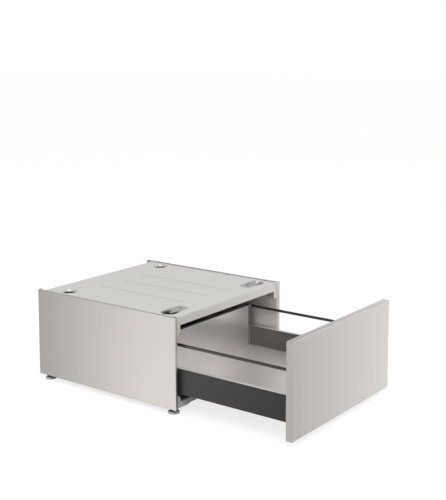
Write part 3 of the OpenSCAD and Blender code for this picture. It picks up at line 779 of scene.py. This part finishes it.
SHEET = 1.2
PANEL_FOLD = 1.8
STRIP_FOLD = 0.5
HEM_FOLD = 1.2
HEM_IN = 5.0
FOOT_FLANGE_IN = 12.8
FRONT_STRIP = 10.0
STRIP_RETURN = 14.0
REAR_FLANGE = 18.0
SEAM = 6.0  # from the panel's ends to where its wall and corners meet

low, high = box_mm("right_side_panel")
outer = high[0]
inner = outer - SHEET
wall_line = [(inner - FOOT_FLANGE_IN, low[2]), (outer, low[2]),
             (outer, high[2]), (inner - HEM_IN, high[2])]
strip = outer - FRONT_STRIP
front_line = [(strip, low[1] + STRIP_RETURN), (strip, low[1]), (outer, low[1]), (outer, low[1] + SEAM)]
rear_line = [(outer, high[1] - SEAM), (outer, high[1]), (outer - REAR_FLANGE, high[1])]
right_panel = joined([
    carried(folded(wall_line, SHEET, HEM_FOLD), low[1] + SEAM, high[1] - SEAM, lengthwise),
    carried(folded(front_line, SHEET, (STRIP_FOLD, PANEL_FOLD)), low[2], high[2], upright),
    carried(folded(rear_line, SHEET, PANEL_FOLD), low[2], high[2], upright),
])
print("side panels", np.round(high - low), "mm, of sheet", SHEET, "mm thick")

# %% [markdown]
# A piece can have several finishes, one for each slot of its mesh. The faces that look along a given
# direction are found from their normals, all at once, and get the number of a second slot.

# %% Panels whose inside is paler, as painted light
FACING = 0.9  # least cosine between a face's normal and the way that it is said to look


def finish_towards(obj, finish, way):
    """The faces that look along a direction get a finish of their own."""
    mesh = obj.data
    facing = read(mesh.polygons, "normal", 3) @ np.array(way, float)
    slot = read(mesh.polygons, "material_index", kind=np.int32)
    mesh.materials.append(finish)
    slot[facing > FACING] = len(mesh.materials) - 1
    mesh.polygons.foreach_set("material_index", slot)


for name, shape, inwards in (("right", right_panel, -1), ("left", mirrored(right_panel), 1)):
    obj = piece(name + "_panel", shape, satin_deep, name + "_side_panel", flat_grain=ALONG_Y)
    # painted light: the inward faces get the paler paint for the light that shows in the gap
    finish_towards(obj, painted_light_silver, (inwards, 0, 0))
    print(obj.name, "has", [finish.name for finish in obj.data.materials])

# %% [markdown]
# ## The drawer front
# The front is a shallow tray of the same steel over a board. Its four edges are folded back, its
# corners are welded and rubbed round, and a soft arris runs round the face. It is worked out as
# rings: each ring is the outline drawn in by some distance, at some depth, and the rings follow a
# profile from the hidden inner face over the edge to the outer face. A box with a Bevel would have
# one radius everywhere, while the rings give the corners and the arris their own.

# %% Drawer front
LEAST_CORNER = 0.05


def outline_at(width, height, inset, corner, steps=6):
    """A rounded rectangle about the origin, drawn in by inset, as (u, v) rows. Each corner is a
    quarter circle: its centre plus the radius times the cosine and sine of the angle."""
    radius = max(corner - inset, LEAST_CORNER)
    arc = np.linspace(0, np.pi / 2, steps + 1)
    quarters = []
    for k, (su, sv) in enumerate(((1, 1), (-1, 1), (-1, -1), (1, -1))):
        angle = arc + k * np.pi / 2
        u = su * (width / 2 - inset - radius) + radius * np.cos(angle)
        v = sv * (height / 2 - inset - radius) + radius * np.sin(angle)
        quarters.append(np.stack([u, v], -1))
    return np.concatenate(quarters)


def capped(rows, count):
    """The faces of a grid that closes round, with a cap on its first row and on its last."""
    faces = [tuple(face) for face in grid_faces(rows, count)]
    return faces + [tuple(range(count)), tuple(range((rows - 1) * count, rows * count))]


def tray(profile, width, height, corner, centre):
    """Rings of an upright tray. Each row of the profile is (inset, place along Y)."""
    rings = [outline_at(width, height, inset, corner) for inset, _ in profile]
    count = len(rings[0])
    depth = np.repeat([y for _, y in profile], count)
    flat = np.concatenate(rings)
    points = np.stack([flat[:, 0] + centre[0], depth, flat[:, 1] + centre[1]], -1) * MM
    return points, capped(len(profile), count)


ARRIS = 2.5
SKIN = 1.0
FRONT_CORNER = 1.6
low, high = box_mm("front_skin")
width, _, height = high - low
middle = ((low[0] + high[0]) / 2, (low[2] + high[2]) / 2)
outer_line = [(0, high[1]), (0, low[1]), (width, low[1])]
inner_line = [(SKIN, high[1]), (SKIN, low[1] + SKIN), (width, low[1] + SKIN)]
over_edge = softened(outer_line, ARRIS)[:-1]
under_edge = softened(inner_line, ARRIS - SKIN)[:-1]
front_profile = np.concatenate([under_edge[::-1], over_edge])
front_tray = tray(front_profile, width, height, FRONT_CORNER, middle)
piece("front_panel", front_tray, satin_across, "front_skin")
print("front", np.round(high - low), "mm,", len(front_profile), "rings")

# %% [markdown]
# The inner plate lies flush in the back of that tray. It is a plain sheet with a filed edge.

# %% Inner plate
FILED = 0.3
low, high = box_mm("front_inner_plate")
width, _, height = high - low
plate_profile = [(0, low[1]), (0, high[1] - FILED), (FILED, high[1])]
middle = ((low[0] + high[0]) / 2, (low[2] + high[2]) / 2)
inner_plate = tray(plate_profile, width, height, FRONT_CORNER, middle)
piece("inner_plate", inner_plate, frame_silver, "front_inner_plate")
print("inner plate", np.round(high - low, 1), "mm")

# %% [markdown]
# ## The side walls of the drawer
# Each wall is hollow, so that the slide can run inside it. Its outer skin is dark and has a flange
# along its top. The lining lies on that flange and goes down the inside, where it turns in at its
# foot and carries the floor. Both are profiles carried along Y. At its rear end the lining turns
# inwards in a narrow tab, which closes the corner beside the back wall. The lining's side has a clear
# dark lacquer, in which the drawer's floor is mirrored. Its upward faces get the paler frame paint, a
# painted highlight that stands for the light line its top shows on the dark wall. The tab is finished
# like the back wall, whose edge it continues.

# %% Drawer walls
WALL_FOLD = 1.4
LINING_FOLD = 1.0
FLOOR_GAP = 0.1  # between the floor's edges and the walls
END_TAB = 4.0
TAB_GAP = 0.1


def plate(outline, start, end, place):
    """A flat plate: a closed outline carried from start to end."""
    count = len(outline)
    ends = [place(outline[:, 0], outline[:, 1], np.full(count, way)) for way in (start, end)]
    return np.concatenate(ends), capped(2, count)


def oblong(u0, u1, v0, v1):
    """A closed outline with four corners."""
    return np.array([(u0, v0), (u1, v0), (u1, v1), (u0, v1)], float)


low, high = box_mm("right_drawer_wall")
skin_line = [(high[0], low[2]), (high[0], high[2]), (low[0], high[2])]
right_wall = carried(folded(skin_line, SHEET, WALL_FOLD), low[1], high[1], lengthwise)
piece("right_wall", right_wall, dark_coat, "right_drawer_wall")
piece("left_wall", mirrored(right_wall), dark_coat, "left_drawer_wall")

low, high = box_mm("right_wall_lining")
floor_low, floor_high = box_mm("drawer_floor")
wall_inner = FLOOR_GAP - floor_low[0]
lining_line = [(high[0], high[2]), (wall_inner, high[2]),
               (wall_inner, low[2] + SHEET), (low[0], low[2] + SHEET)]
tab = oblong(wall_inner - END_TAB, wall_inner, floor_high[2] + TAB_GAP, high[2] - LINING_FOLD)
right_lining = joined([
    carried(folded(lining_line, SHEET, LINING_FOLD), low[1], high[1], lengthwise),
    plate(tab, high[1] - TAB_GAP - SHEET, high[1] - TAB_GAP, lengthwise),
])
for name, shape in (("right", right_lining), ("left", mirrored(right_lining))):
    obj = piece(name + "_lining", shape, dark_lacquer, name + "_wall_lining")
    # painted highlight: the lining's upward faces get the paler frame paint
    finish_towards(obj, frame_silver, (0, 0, 1))
    finish_towards(obj, back_silver, (0, -1, 0))
print("walls", np.round(high - low), "mm")

# %% [markdown]
# The floor's sheet turns down along both sides, where it lies against the linings. The back wall has
# its upper edge folded over to the rear, so that no raw edge shows. Each is one profile, carried along
# the drawer or across it.

# %% Floor and back wall of the drawer
FLOOR_SHEET = 1.0
FLOOR_FOLD = 1.2
BACK_EDGE = 6.0
low, high = box_mm("drawer_floor")
floor_line = [(high[0], low[2]), (high[0], high[2]), (low[0], high[2]), (low[0], low[2])]
piece("floor_sheet", carried(folded(floor_line, FLOOR_SHEET, FLOOR_FOLD), low[1], high[1], lengthwise),
      drawer_silver, "drawer_floor")
low, high = box_mm("drawer_back")
back_line = [(high[1], high[2] - BACK_EDGE), (high[1], high[2]), (low[1], high[2]), (low[1], low[2])]
piece("back_sheet", carried(folded(back_line, SHEET, FLOOR_FOLD), low[0], high[0], crosswise),
      back_silver, "drawer_back")
print("drawer floor and back wall")

# %% [markdown]
# ## The gallery rods
# Two tubes in dark chrome run above the side walls, so that tall things don't fall out. Each sits in
# a socket on the front and in a cap on the post behind. A cylinder would show the same side, but a
# turned profile has the tube's wall and the broken edges of its ends.

# %% Rods
ROD_WALL = 1.0
TURNED_EDGE = 0.5


def tube(y0, y1, outside, inside, centre):
    """A tube along Y with broken outer edges."""
    rim = outside - TURNED_EDGE
    rows = [(y0, inside), (y0, rim), (y0 + TURNED_EDGE, outside), (y1 - TURNED_EDGE, outside),
            (y1, rim), (y1, inside)]
    return turned(rows, centre, ALONG_Y, ring=True)


for side in ("left", "right"):
    low, high = box_mm(side + "_gallery_rod")
    rod_radius = (high[2] - low[2]) / 2
    centre = ((low[0] + high[0]) / 2, 0, (low[2] + high[2]) / 2)
    rod = tube(low[1], high[1], rod_radius, rod_radius - ROD_WALL, centre)
    piece(side + "_rod", rod, dark_chrome, side + "_gallery_rod")
rod_x, rod_z = high[0] - rod_radius, high[2] - rod_radius
print("rods", round(high[1] - low[1]), "mm long,", round(2 * rod_radius), "mm thick")

# %% [markdown]
# A socket is a plastic collar behind the front, with a groove round it, and a plug that goes into the
# tube. A cap is a cup over the tube's other end, with the same plug. Between the cup and the plug is
# the tube's wall, with a little room on both sides. Moulded pieces like these could be filleted with
# a Bevel, but as turned profiles their small steps keep their real sizes.

# %% Sockets and caps
TUBE_ROOM = 0.05
CUP_FLOOR = 2.0
SOCKET_FOOT = 0.4  # edge breaks of the collar
SOCKET_RIM = 0.8
GROOVE_START, GROOVE_END = 4.0, 2.6  # from the collar's open end
GROOVE_SLOPE = 0.4
GROOVE_DEPTH = 0.7
CAP_LENGTH = 6.0
CAP_RIM = 0.3
CAP_ROUND = 1.2
CAP_SHOULDER = 0.35  # how far the middle of the round is drawn in
bore = rod_radius + TUBE_ROOM
plug = rod_radius - ROD_WALL - TUBE_ROOM


def socket(x):
    """A collar with a groove round it, and the plug inside the tube."""
    low, high = box_mm("rod_front_sockets")
    foot, end = low[1], high[1]
    reach = (high[2] - low[2]) / 2
    groove = reach - GROOVE_DEPTH
    rows = [(foot, 0), (foot, reach - SOCKET_FOOT), (foot + SOCKET_FOOT, reach),
            (end - GROOVE_START, reach), (end - GROOVE_START + GROOVE_SLOPE, groove),
            (end - GROOVE_END - GROOVE_SLOPE, groove), (end - GROOVE_END, reach),
            (end - SOCKET_RIM, reach), (end, reach - SOCKET_RIM), (end, bore),
            (foot + CUP_FLOOR, bore), (foot + CUP_FLOOR, plug), (end - TURNED_EDGE, plug),
            (end, plug - TURNED_EDGE), (end, 0)]
    return turned(rows, (x, 0, rod_z), ALONG_Y)


def cap(x):
    """A cup over the tube's rear end, with a rounded bottom, and the plug inside the tube."""
    low, high = box_mm("rod_rear_caps")
    start, end = low[1], high[1]
    reach = (high[2] - low[2]) / 2
    cup = end - CAP_LENGTH
    rows = [(start, 0), (start, plug - TURNED_EDGE), (start + TURNED_EDGE, plug),
            (end - CUP_FLOOR, plug), (end - CUP_FLOOR, bore), (cup, bore),
            (cup, reach - CAP_RIM), (cup + CAP_RIM, reach), (end - CAP_ROUND, reach),
            (end - CAP_SHOULDER, reach - CAP_SHOULDER), (end, reach - CAP_ROUND), (end, 0)]
    return turned(rows, (x, 0, rod_z), ALONG_Y)


piece("rod_sockets", joined([socket(-rod_x), socket(rod_x)]), grey_plastic, "rod_front_sockets")
piece("rod_caps", joined([cap(-rod_x), cap(rod_x)]), grey_plastic, "rod_rear_caps")
print("plugs", round(2 * plug, 1), "mm thick, cups", round(2 * bore, 1), "mm wide")

# %% [markdown]
# ## The front frame
# Two folded rails tie the cabinet's sides together at the front. Each ends in ears, flat plates with
# rounded corners that close the corner beside the opening. An ear is a closed outline, carried
# through the thickness of its sheet.

# %% Upper front rail
FRAME_SHEET = 1.5
FRAME_FOLD = 1.2
EAR_ROUND = 3.0
EAR_WIDE = 15.2
RAIL_HEIGHT = 27.5
EAR_OVERLAP = 5.0  # how far the ears go up behind the rail's foot
EAR_DROP, EAR_DROP_INSIDE = 29.0, 21.0  # under the rail's foot, at the ear's two sides


def three_parts(middle, right_end):
    """The middle of a rail with its right end, and the same end on the left."""
    return joined([middle, right_end, mirrored(right_end)])


low, high = box_mm("top_front_rail")
face_y, back_y = low[1], high[1]
half = high[0]
ear_from = half - EAR_WIDE
rail_foot = high[2] - RAIL_HEIGHT
ear_top = rail_foot + EAR_OVERLAP
channel = [(back_y, high[2]), (face_y, high[2]), (face_y, rail_foot), (back_y, rail_foot)]
end_line = [(back_y, high[2]), (face_y, high[2]), (face_y, ear_top)]
ear_line = [(half, ear_top), (half, rail_foot - EAR_DROP),
            (ear_from, rail_foot - EAR_DROP_INSIDE), (ear_from, ear_top)]
upper_end = joined([
    carried(folded(end_line, FRAME_SHEET, FRAME_FOLD), ear_from, half, crosswise),
    plate(softened(ear_line, EAR_ROUND), face_y, face_y + FRAME_SHEET, lengthwise),
])
upper_middle = carried(folded(channel, FRAME_SHEET, FRAME_FOLD), -ear_from, ear_from, crosswise)
piece("top_rail", three_parts(upper_middle, upper_end), frame_silver, "top_front_rail")
print("upper rail", round(2 * half), "mm wide, its face at y =", round(face_y, 1), "mm")

# %% [markdown]
# The lower rail is stepped: between its flat ends its foot is raised, and its upper edge is folded
# back and down.

# %% Lower front rail
LOWER_HEIGHT = 19.0
LOWER_LIP = 10.0
LOWER_RAISED = 3.5
LOWER_END = 59.7  # how wide its flat ends are
EAR_HEAD = 7.0  # how wide its ears are at the top
EAR_RISE = 9.0  # over the rail, at the ear's inner side

low, high = box_mm("bottom_front_rail")
base, rail_head = low[2], low[2] + LOWER_HEIGHT
step_in = half - LOWER_END
middle_line = [(high[1], rail_head - LOWER_LIP), (high[1], rail_head),
               (face_y, rail_head), (face_y, base + LOWER_RAISED)]
end_plate = oblong(half, step_in, base, rail_head)
ear_line = [(half, rail_head), (half, high[2]), (half - EAR_HEAD, high[2]),
            (ear_from, rail_head + EAR_RISE), (ear_from, rail_head)]
lower_end = joined([
    plate(end_plate, face_y, face_y + FRAME_SHEET, lengthwise),
    plate(softened(ear_line, EAR_ROUND), face_y, face_y + FRAME_SHEET, lengthwise),
])
lower_middle = carried(folded(middle_line, FRAME_SHEET, FRAME_FOLD), -step_in, step_in, crosswise)
piece("bottom_rail", three_parts(lower_middle, lower_end), frame_silver, "bottom_front_rail")
print("lower rail's middle", round(2 * step_in), "mm wide")

# %% [markdown]
# ## The levelling feet
# Each foot is a threaded steel stem in a round pad. The thread is a true helix: on a grid of height
# and angle, the radius falls by a triangle wave of height over pitch less angle over a full turn. A
# spanner turns it by the hexagonal lock nut above.

# %% Threaded stems
STEM_RADIUS = 5.0
STEM_STEPS = 32
PITCH = 1.5
THREAD_DEPTH = 0.85
THREAD_ROWS = 6  # rows of points for each pitch
THREAD_START = 12.6
THREAD_END = 0.6  # under the stem's top
RUN_OUT = 1.0  # over this way the thread's depth grows from nothing
STEM_EDGE = 0.5
FLANGE_FOOT, FLANGE_RIM, FLANGE_HEAD = 6.0, 8.0, 12.0  # heights over the floor
FLANGE_RADIUS = 14.0
FLANGE_SOLE = 9.0  # its radius where it stands in the pad
FLANGE_EDGE = 0.4


def threaded_stem(centre, top, radius):
    """A flange below and a helical thread above it. The thread's radius is the stem's less its depth
    times a triangle wave of height / pitch - angle / full turn, which runs out at both ends."""
    foot = np.array([
        (FLANGE_FOOT, 0), (FLANGE_FOOT, FLANGE_SOLE - FLANGE_EDGE),
        (FLANGE_FOOT + FLANGE_EDGE, FLANGE_SOLE), (FLANGE_RIM, FLANGE_RADIUS - 0.3),
        (FLANGE_RIM + FLANGE_EDGE, FLANGE_RADIUS), (FLANGE_HEAD - 1.2, FLANGE_RADIUS),
        (FLANGE_HEAD - 0.8, FLANGE_RADIUS - 0.2), (FLANGE_HEAD, FLANGE_RADIUS - 2),
        (FLANGE_HEAD, radius),
    ])
    end = np.array([(top - STEM_EDGE, radius - STEM_EDGE), (top, radius - 2 * STEM_EDGE), (top, 0)])
    stop = top - THREAD_END
    heights = np.arange(THREAD_START, stop, PITCH / THREAD_ROWS)[:, None]
    angle = round_angles(STEM_STEPS)
    wave = np.abs((heights / PITCH - angle / (2 * np.pi)) % 1 * 2 - 1)
    from_end = np.clip((stop - heights) / RUN_OUT, 0, 1)
    from_start = np.clip((heights - THREAD_START) / RUN_OUT, 0, 1)
    thread = radius - THREAD_DEPTH * wave * from_end * from_start
    height = np.concatenate([foot[:, :1], heights, end[:, :1]])
    foot_round, end_round = all_round(foot[:, 1:], STEM_STEPS), all_round(end[:, 1:], STEM_STEPS)
    around = np.concatenate([foot_round, thread, end_round])
    return placed(height, around, angle, centre, ALONG_Z), grid_faces(len(height), STEM_STEPS)


print("a thread of", PITCH, "mm pitch and", THREAD_DEPTH, "mm depth")

# %% [markdown]
# The pad is moulded in pale plastic. Its profile is written as a line of corners and then rounded, so
# that every edge catches a little light.

# %% Foot pads
PAD_SOLE = 0.4  # how far the sole is drawn in from the side
PAD_SIDE = (1.4, 4.6)  # heights between which the side is upright
PAD_SHOULDER, PAD_WAIST = 6.5, 2.5  # the shoulder's height, and how far it is drawn in
PAD_HEAD = 7.0
PAD_LIP = (15.0, 14.3)  # radii of the lip round the stem's flange
PAD_ROUND = 0.35


def foot_pad(centre, radius):
    """A round pad with a soft rim. Its side has a shallow waist, and a lip holds the stem's flange."""
    line = [(0, 0), (0, radius - PAD_SOLE), (PAD_SIDE[0], radius), (PAD_SIDE[1], radius),
            (PAD_SHOULDER, radius - PAD_WAIST), (PAD_HEAD, PAD_LIP[0]), (PAD_HEAD, PAD_LIP[1]),
            (FLANGE_FOOT, FLANGE_SOLE), (FLANGE_FOOT, 0)]
    return turned(softened(line, PAD_ROUND), centre, ALONG_Z)


print("pad", PAD_HEAD, "mm high")

# %% The four feet
FEET = ("front_left", "front_right", "rear_left", "rear_right")
for foot in FEET:
    low, high = box_mm(foot + "_foot_pad")
    centre = ((low[0] + high[0]) / 2, (low[1] + high[1]) / 2, 0)
    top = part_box(foot + "_foot_stem")[1][2] / MM
    piece(foot + "_stem", threaded_stem(centre, top, STEM_RADIUS), black_plastic, foot + "_foot_stem")
    piece(foot + "_pad", foot_pad(centre, (high[0] - low[0]) / 2), grey_plastic, foot + "_foot_pad")
print("feet", round(2 * (high[0] - centre[0])), "mm wide, stems to", round(top), "mm")

# %% [markdown]
# ## Nuts and screws
# A hexagonal nut is a prism whose corners are turned off by a cone. At each height and angle its
# radius is the smaller of the two: the hexagon's, and the cone's. That gives the curved edges of a
# real nut, which a bevelled prism lacks.

# %% Lock nuts
NUT_ACROSS = 17.0
NUT_CORNERS = 9.81  # from the nut's middle to its corners
NUT_CHAMFER = 30.0  # degrees
NUT_FACE = 0.97  # width of its end face, as a share of its width
NUT_TURNED = 1.4  # height over which the cone can reach
NUT_ROWS = 5
NUT_STEPS = 72
THREAD_HOLE = 5.05
HOLE_EDGE = 0.5


def hex_nut(centre, height, across, hole):
    """A nut with both ends chamfered. The hexagon's radius is half its width over the cosine of the
    angle from the nearest flat's middle. The profile closes through the hole."""
    angle = round_angles(NUT_STEPS)
    flat = across / 2 / np.cos((angle + np.pi / 6) % (np.pi / 3) - np.pi / 6)
    rise = np.linspace(0, NUT_TURNED, NUT_ROWS)
    depth = np.concatenate([rise, [height / 2], (height - rise)[::-1]])[:, None]
    from_end = np.minimum(depth, height - depth)
    cone = across / 2 * NUT_FACE + from_end / math.tan(math.radians(NUT_CHAMFER))
    outside = np.minimum(flat, cone)
    hole_rows = np.array([(height, hole + HOLE_EDGE), (height - HOLE_EDGE, hole),
                          (HOLE_EDGE, hole), (0, hole + HOLE_EDGE)])
    level = np.concatenate([depth, hole_rows[:, :1]])
    around = np.concatenate([outside, all_round(hole_rows[:, 1:], NUT_STEPS)])
    faces = grid_faces(len(level), NUT_STEPS, closed_rows=True)
    return placed(level, around, angle, centre, ALONG_Z), faces


low, high = box_mm("lock_nuts")
nut_height = high[2] - low[2]
nut_xs = low[0] + NUT_CORNERS, high[0] - NUT_CORNERS
nut_ys = low[1] + NUT_ACROSS / 2, high[1] - NUT_ACROSS / 2
nut_places = [(x, y, low[2]) for x in nut_xs for y in nut_ys]
nuts = joined([hex_nut(place, nut_height, NUT_ACROSS, THREAD_HOLE) for place in nut_places])
piece("hex_nuts", nuts, zinc, "lock_nuts")
print(len(nut_places), "nuts", round(nut_height), "mm high")

# %% [markdown]
# The screws stand where the construction has them. Each node of screws holds several separate solids,
# so their places are read from its mesh. Every point starts with its own number, and each triangle
# gives its lowest number to its three corners, until no number changes: then points with one number
# are one solid.

# %% Finding the solids of a node
def mesh_arrays(node):
    """The points of a node in metres, and its triangles as numbers of points."""
    mesh = nodes[node].data
    return read(mesh.vertices, "co", 3), read(mesh.loops, "vertex_index", kind=int).reshape(-1, 3)


def solids_of(node):
    """The points of each separate solid of a node, in millimetres."""
    point, corners = mesh_arrays(node)
    points, same = np.unique(np.round(point / MM, 3), axis=0, return_inverse=True)
    triangles = same.ravel()[corners]
    label = np.arange(len(points))
    while True:
        before = label.copy()
        np.minimum.at(label, triangles.ravel(), np.repeat(label[triangles].min(1), 3))
        if (label == before).all():
            break
    return [points[label == value] for value in np.unique(label)]


print("cabinet screws:", len(solids_of("cabinet_screws")))

# %% [markdown]
# A pan-head screw is a polar grid. Its rows run from the tip up the shank, out under the head, over
# its domed top and down into a six-lobed recess, whose radius swells and shrinks six times a turn.

# %% Screws
HEAD_SHAPE = [(0.12, 1), (0.40, 1), (0.68, 0.93), (0.88, 0.78), (1, 0.56)]  # shares of its size
HEAD_EDGE = 0.15
TIP_EDGE = 0.3
AXIS_GUARD = 0.5  # points nearer to the axis aren't on the shank
RIM_GUARD = 0.1
RECESS_DEPTH = 0.55  # share of the head's height
RECESS_LOBE = 0.16
RECESS_EDGE = 0.1
LOBES = 6
SCREW_STEPS = 24


def pan_screw(solid, recess):
    """A screw in the place of a solid. Its axis is the side whose extent is unlike the other two, and
    its head is at the end that holds the widest points. The recess has a mean radius times one plus
    a share of the cosine of six times the angle."""
    low, high = solid.min(0), solid.max(0)
    size = high - low
    axis = int(np.argmax([abs(size[k] - size[k - 1]) + abs(size[k] - size[k - 2]) for k in range(3)]))
    centre = (low + high) / 2
    reach = np.linalg.norm(np.delete(solid - centre, axis, 1), axis=1)
    head, shank = reach.max(), reach[reach > AXIS_GUARD].min()
    rim = solid[reach > head - RIM_GUARD, axis]
    way = 1 if rim.mean() > centre[axis] else -1
    under = rim.min() if way > 0 else rim.max()
    top = high[axis] if way > 0 else low[axis]
    tip = low[axis] if way > 0 else high[axis]
    rise = top - under
    rows = [(tip, 0), (tip, shank - TIP_EDGE), (tip + way * TIP_EDGE, shank), (under, shank),
            (under, head - HEAD_EDGE)]
    rows = np.array(rows + [(under + up * rise, out * head) for up, out in HEAD_SHAPE])
    floor = top - RECESS_DEPTH * rise
    angle = round_angles(SCREW_STEPS)
    lobes = recess * (1 + RECESS_LOBE * np.cos(LOBES * angle))
    along = np.concatenate([rows[:, :1], [[top], [floor], [floor]]])
    inside = [lobes + RECESS_EDGE, lobes, 0 * lobes]
    around = np.concatenate([all_round(rows[:, 1:], SCREW_STEPS), inside])
    centre[axis] = 0
    return placed(along, around, angle, centre, axis), grid_faces(len(along), SCREW_STEPS)


print("a screw has", len(HEAD_SHAPE) + 8, "rows of", SCREW_STEPS, "points")

# %% All the screws
def screws(name, node, recess):
    """All the screws of a node, with recesses of that radius."""
    solids = solids_of(node)
    piece(name, joined([pan_screw(solid, recess) for solid in solids]), zinc, node)
    print(name, len(solids))


screws("pan_screws", "cabinet_screws", recess=1.5)
screws("slide_screws", "rail_screws", recess=1.5)
screws("front_screws", "front_fixing_screws", recess=1.4)
screws("clip_screws", "foot_clip_screws", recess=2.4)

# %% [markdown]
# ## The rubber seats
# Four rubber pads lie in the dishes of the top plate, so that what stands there can't walk off. Each
# pad is turned, with raised rings that grip and a soft rim. The rings could be a bump in the
# material, but they are deep enough to show from the side, so they are part of the profile.

# %% Seat pads
RINGS = 5
RING_HEIGHT = 0.7
RING_ROWS = 12
RINGS_FROM, RINGS_TO = 0.90, 0.18  # shares of the pad's radius
SEAT_SOLE = 0.3
SEAT_ROUND = (0.8, 0.9)  # its height and width
SEAT_SHOULDER = (0.2, 0.25)  # how far down and in the middle of the round is
SEAT_STEPS = 64


def seat_pad(solid):
    """A round pad with rings. Between two radii its height falls by a wave of the radius."""
    low, high = solid.min(0), solid.max(0)
    radius = (high[0] - low[0]) / 2
    ring_radius = np.linspace(radius * RINGS_FROM, radius * RINGS_TO, RINGS * RING_ROWS + 1)
    phase = (ring_radius[0] - ring_radius) / (ring_radius[0] - ring_radius[-1]) * RINGS
    ring_top = high[2] - RING_HEIGHT * (0.5 - 0.5 * np.cos(2 * np.pi * phase)) ** 2
    rim = [(low[2], 0), (low[2], radius - SEAT_SOLE), (low[2] + SEAT_SOLE, radius),
           (high[2] - SEAT_ROUND[0], radius), (high[2] - SEAT_SHOULDER[0], radius - SEAT_SHOULDER[1]),
           (high[2], radius - SEAT_ROUND[1])]
    line = np.concatenate([rim, np.stack([ring_top, ring_radius], -1), [(high[2], 0)]])
    centre = ((low[0] + high[0]) / 2, (low[1] + high[1]) / 2, 0)
    return turned(line, centre, ALONG_Z, steps=SEAT_STEPS)


seats = [seat_pad(solid) for solid in solids_of("foot_seat_pads")]
piece("seat_pads", joined(seats), black_rubber, "foot_seat_pads")
print(len(seats), "seat pads with", RINGS, "rings")

# %% [markdown]
# ## The other pieces
# The rest already has its true shape: pressed plates, brackets, rails and the slides' members. But
# it comes as loose triangles, which shade flat. A copy whose points are merged shades softly over
# its folds. The Weighted Normal modifier lets the large flats set the shading, so they stay flat.
# Each slot of the construction has one finish, but the two rear posts look a lighter grey than the
# coat of the walls beside them.

# %% Finishes on the pieces
finish_of_slot = {
    "satin_steel": frame_silver, "frame_steel": frame_silver, "zinc_steel": zinc,
    "ball_steel": ball_steel, "anthracite": dark_coat, "lining_steel": dark_lacquer,
    "rod_chrome": dark_chrome, "grey_plastic": grey_plastic, "rubber": black_rubber,
    "board": raw_board,
}
finish_of_node = {name: finish_of_slot[slot] for name, slot in slot_of_node.items()}
finish_of_node.update(left_rear_bracket=post_silver, right_rear_bracket=post_silver)
for name, obj in nodes.items():
    obj.data.materials.clear()
    obj.data.materials.append(finish_of_node[name])


def soft_copy(node):
    """A merged, softly shaded copy of a node, which stands for it."""
    obj = piece("soft_" + node, mesh_arrays(node), finish_of_node[node], node)
    obj.modifiers.new("flats", "WEIGHTED_NORMAL").keep_sharp = True


replaced = {name for obj in bpy.data.objects for name in obj.get("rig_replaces", [])}
soft_nodes = [name for name in nodes if name not in replaced]
for name in soft_nodes:
    soft_copy(name)
print(len(made), "pieces made,", len(nodes), "finished")

# %% [markdown]
# ## How the light becomes a picture
# The Standard view shows each colour as it is worked out, with no film curve over it. So the tones
# that were set above can be compared with what a camera sees.

# %% View
bpy.context.scene.view_settings.view_transform = "Standard"
print("view:", bpy.context.scene.view_settings.view_transform)

# %% [markdown]
# ## The dressed size
# The size of the dressed object is printed.

# %% Sizes and finish
low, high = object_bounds()
print("dressed size", [round(size / MM, 1) for size in high - low], "mm")
